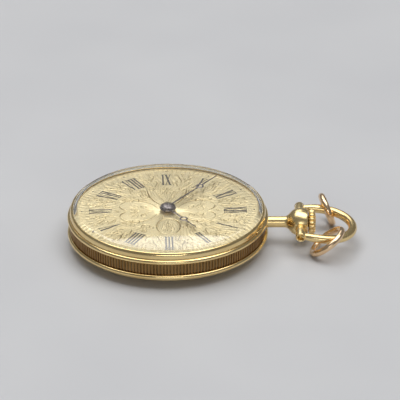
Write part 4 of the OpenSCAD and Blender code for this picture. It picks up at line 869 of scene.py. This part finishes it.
SPOKES, RINGS = 1440, 216
radii = np.concatenate([np.linspace(HOLE_R, 1.2, 4)[:-1], np.linspace(1.2, DIAL_R - 0.06, RINGS - 5),
                        [DIAL_R - 0.02, DIAL_R]])
for q in range(4):
    spokes = np.arange(q * SPOKES // 4, (q + 1) * SPOKES // 4 + 1) * TAU / SPOKES
    rr, aa = np.meshgrid(radii, spokes, indexing="ij")
    x, y = rr * np.cos(aa), rr * np.sin(aa)
    d, g, ground = depth_at(x, y)
    edge = np.clip((DIAL_R - rr) / 0.06, 0, 1)
    z = DIAL_Z - d * (rr > 1.15) - 0.03 * (1 - edge) ** 2
    e = 0.004
    gx = (depth_at(x + e, y)[0] - depth_at(x - e, y)[0]) / (2 * e) * (edge >= 1)
    gy = (depth_at(x, y + e)[0] - depth_at(x, y - e)[0]) / (2 * e) * (edge >= 1)
    m, k = x.shape
    top = np.stack([x, y, z], -1).reshape(-1, 3)
    idx = np.arange(m * k).reshape(m, k)
    quads = np.stack([idx[:-1, :-1], idx[1:, :-1], idx[1:, 1:], idx[:-1, 1:]], -1).reshape(-1, 4).tolist()
    outline = np.concatenate([idx[:, 0], idx[-1, 1:], idx[::-1, -1][1:], idx[0, ::-1][1:-1]])
    rim = top[outline].copy()
    low = rim.copy()
    low[:, 2] = DISC_LOW
    n0, nl = len(top), len(outline)
    walls = [[n0 + i, n0 + nl + i, n0 + nl + (i + 1) % nl, n0 + (i + 1) % nl] for i in range(nl)]
    under = [[n0 + nl + i for i in range(nl)][::-1]]
    verts = np.concatenate([top, rim, low])
    obj = piece(f"dial_{q + 1}", [(verts, quads + walls + under)], [dial_mat], "root",
                ["dial"] if q == 0 else (), facing=False, sharp=60)
    mesh = obj.data
    # The attribute cut carries painted shade: the dial's colour turns dark in deep grooves and flute valleys.
    shade = np.zeros(len(verts), np.float32)
    shade[:n0] = np.clip(g * 9.0 + 0.16 * ground, 0, 1).reshape(-1)
    mesh.attributes.new("cut", "FLOAT", "POINT").data.foreach_set("value", shade)
    normals = np.zeros((len(verts), 3))
    normals[:n0] = np.stack([gx, gy, np.ones_like(gx)], -1).reshape(-1, 3)
    normals[:n0] /= np.linalg.norm(normals[:n0], axis=1)[:, None]
    mesh.normals_split_custom_set_from_vertices(normals.tolist())
base = [(HOLE_R, 4.78), (HOLE_R + 0.03, 4.75), (DIAL_R - 0.03, 4.75), (DIAL_R, 4.78), (DIAL_R, 5.03),
        (HOLE_R, 5.03)]
feet = []
for a in (120, 250):
    c, s = 10.6 * math.cos(math.radians(a)), 10.6 * math.sin(math.radians(a))
    v, f = lathe([(0.27, 3.45), (0.30, 3.48), (0.30, 4.77)], 32)
    feet.append((v + [c, s, 0], f))
piece("dial_back", [lathe(base, 256, loop=True)] + feet, [brass], "root")

# ---------------------------------------------------------------- numerals and hour dots
I_W, HAIR, SERIF, BASE_R, TOP_R = 0.24, 0.08, 0.07, 8.35, 11.75
MARK_H, DOT_AT = 0.022, 12.87
GLYPHS = {1: "I", 2: "II", 3: "III", 4: "IIII", 5: "V", 6: "VI", 7: "VII", 8: "VIII", 9: "IX", 10: "X",
          11: "XI", 12: "XII"}
ADVANCE = {"I": 0.47, "V": 1.02, "X": 1.06}


def bar(u0, u1, v0, v1, w, w_top=None):
    """A stroke from (u0, v0) to (u1, v1), w wide across u."""
    a, b = w / 2, (w_top or w) / 2
    return [(u0 - a, v0), (u0 + a, v0), (u1 + b, v1), (u1 - b, v1)]


def glyph(letters):
    """The strokes of one numeral, read from the dial's centre. u runs to the right and v outwards."""
    width = sum(ADVANCE[c] for c in letters)
    at, bars = -width / 2, []
    for c in letters:
        mid, half = at + ADVANCE[c] / 2, ADVANCE[c] / 2
        if c == "I":
            bars += [bar(mid, mid, BASE_R, TOP_R, I_W)]
            for v in (BASE_R, TOP_R - SERIF):
                bars += [bar(mid, mid, v, v + SERIF, 0.46)]
        if c == "V":
            left, right = mid - half + 0.20, mid + half - 0.16
            bars += [bar(mid, left, BASE_R, TOP_R, 0.12, I_W + 0.02),
                     bar(mid + 0.02, right, BASE_R, TOP_R, HAIR)]
            bars += [bar(u, u, TOP_R - SERIF, TOP_R, w) for u, w in ((left, 0.46), (right, 0.34))]
        if c == "X":
            bars += [bar(mid + half - 0.22, mid - half + 0.22, BASE_R, TOP_R, I_W + 0.02)]
            bars += [bar(mid - half + 0.18, mid + half - 0.18, BASE_R, TOP_R, HAIR)]
            bars += [bar(u, u, v, v + SERIF, 0.42) for v in (BASE_R, TOP_R - SERIF)
                     for u in (mid - half + 0.21, mid + half - 0.21)]
        at += ADVANCE[c]
    return bars


marks = []
for hour, letters in GLYPHS.items():
    a = math.radians(DIAL_TURN - 30 * hour)
    out, right = np.array([math.cos(a), math.sin(a)]), np.array([math.sin(a), -math.cos(a)])
    for n, quad in enumerate(glyph(letters)):
        rise = DIAL_Z + MARK_H + 0.0008 * (n % 4)
        mid = np.mean(quad, axis=0)
        wide = [p[0] * right + p[1] * out for p in quad]
        slim = [(mid + (np.array(p) - mid) * [0.90, 0.995]) for p in quad]
        slim = [p[0] * right + p[1] * out for p in slim]
        levels = ((wide, DIAL_Z - 0.02), (wide, rise - 0.007), (slim, rise))
        v = [(*p, h) for outline, h in levels for p in outline]
        marks.append(skin(np.array(v).reshape(3, 4, 3)))
    v, f = lathe([(r, DIAL_Z + h) for r, h in ((0.13, -0.03), (0.135, 0.004), (0.11, 0.022), (0.06, 0.032),
                                               (0.01, 0.035))], 24)
    marks.append((v + [DOT_AT * out[0], DOT_AT * out[1], 0], f))
piece("dial_numerals", marks, [enamel_mat], "root", sharp=20)


# ---------------------------------------------------------------- hands
def hand(length, ring_at, z, turn):
    """A slim hand with a ridge along it, a round ring near its end and a fine point."""
    t, ring_in, ring_out = 0.1, 0.355, 0.625

    def blade(stations):
        section = ((-1, 0.012), (-1, t * 0.55), (0, t), (1, t * 0.55), (1, 0.012), (0, 0))
        return skin([[(u, w * side, z + h) for side, h in section] for u, w in stations])

    parts = [blade([(0.45, 0.15), (1.2, 0.14), (2.5, 0.13), (ring_at - ring_out + 0.06, 0.115)]),
             blade([(ring_at + ring_out - 0.08, 0.14), (ring_at + ring_out + 0.3, 0.13),
                    (length - 0.8, 0.085), (length - 0.06, 0.055), (length, 0.02)])]
    prof = [(ring_in, z + 0.02), (ring_in, z + t * 0.6), (ring_in + 0.05, z + t * 0.92),
            ((ring_in + ring_out) / 2, z + t), (ring_out - 0.05, z + t * 0.92), (ring_out, z + t * 0.6),
            (ring_out, z + 0.02), (ring_out - 0.03, z), (ring_in + 0.03, z)]
    v, f = lathe(prof, 64, loop=True)
    parts.append((v + [ring_at, 0, 0], f))
    m = Matrix.Rotation(math.radians(turn), 4, "Z")
    return [put(p, m) for p in parts]


HOUR_Z, MINUTE_Z, HOUR, MINUTE = 5.52, 5.80, 1, 51
collar = [(r, HOUR_Z + h) for r, h in ((0.55, 0), (1.165, 0), (1.20, 0.03), (1.20, 0.12), (1.175, 0.17),
                                       (1.11, 0.20), (0.60, 0.20), (0.55, 0.18))]
piece("hour_hand", hand(7.5, 4.2, HOUR_Z, -30 * (HOUR + MINUTE / 60)) + [lathe(collar, 96, loop=True)],
      [hand_mat], "hour_group", ["hour_hand"], sharp=28)
cap = [(r, MINUTE_Z + h) for r, h in ((0.36, 0), (1.07, 0), (1.10, 0.03), (1.10, 0.10), (1.07, 0.14),
                                      (0.99, 0.155), (0.95, 0.21), (0.86, 0.28), (0.71, 0.345), (0.50, 0.39),
                                      (0.27, 0.415), (0.03, 0.42))]
piece("minute_hand", hand(12.6, 8.1, MINUTE_Z, -6 * MINUTE) + [lathe(cap, 96)], [hand_mat], "centre_group",
      ["minute_hand"], sharp=28)

# ---------------------------------------------------------------- floor, light and camera
LAMP_AIM = Vector((4.0, 0.0, 3.0)) * MM
floor_mesh = bpy.data.meshes.new("floor")
floor_mesh.from_pydata([(-2, -2, 0), (2, -2, 0), (2, 2, 0), (-2, 2, 0)], [], [(0, 1, 2, 3)])
floor = bpy.data.objects.new("floor", floor_mesh)
bpy.context.scene.collection.objects.link(floor)
floor.location.z = -0.02 * MM
f = Finish("floor", (0.62, 0.62, 0.63), metal=0.0, rough=0.45)
soft = f.noise(30, detail=2)
pale = f.tint(soft, [(0.3, (0.60, 0.60, 0.61)), (0.7, (0.64, 0.64, 0.645))])
floor_mesh.materials.append(f.use(Base_Color=pale, Roughness=f.span(soft, 0, 1, 0.42, 0.5)))

aim = Vector((4.8, 4.8, 4.57)) * MM


def lamp(name, at, size, power):
    """A soft rectangular lamp in metres and watts that faces the watch."""
    data = bpy.data.lights.new(name, "AREA")
    data.shape = "RECTANGLE"
    data.size, data.size_y = size
    data.energy = power
    obj = bpy.data.objects.new(name, data)
    bpy.context.scene.collection.objects.link(obj)
    obj.location = at
    obj.rotation_mode = "QUATERNION"
    obj.rotation_quaternion = (LAMP_AIM - Vector(at)).to_track_quat("-Z", "Y")


lamp("overhead", (0.02, 0.04, 0.60), (0.90, 0.46), 3.4)
lamp("key", (-0.06, 0.42, 0.43), (0.30, 0.22), 0.36)
lamp("front", (0.05, -0.60, 0.20), (0.36, 0.07), 0.35)
world = bpy.data.worlds.new("studio")
world.use_nodes = True
world.node_tree.nodes["Background"].inputs["Color"].default_value = (0.19, 0.195, 0.205, 1)
world.node_tree.nodes["Background"].inputs["Strength"].default_value = 1.0
bpy.context.scene.world = world
bpy.context.scene.view_settings.view_transform = "Standard"

ELEVATION, DISTANCE, LENS = math.radians(27.4), 0.545, 326.0
data = bpy.data.cameras.new("camera")
data.lens, data.sensor_width = LENS, 36.0
data.clip_start, data.clip_end = 0.01, 20.0
data.dof.use_dof = False
camera = bpy.data.objects.new("camera", data)
bpy.context.scene.collection.objects.link(camera)
back = Vector((0, -math.cos(ELEVATION), math.sin(ELEVATION)))
camera.location = aim + back * DISTANCE
camera.rotation_mode = "QUATERNION"
camera.rotation_quaternion = (-back).to_track_quat("-Z", "Y")
bpy.context.scene.camera = camera
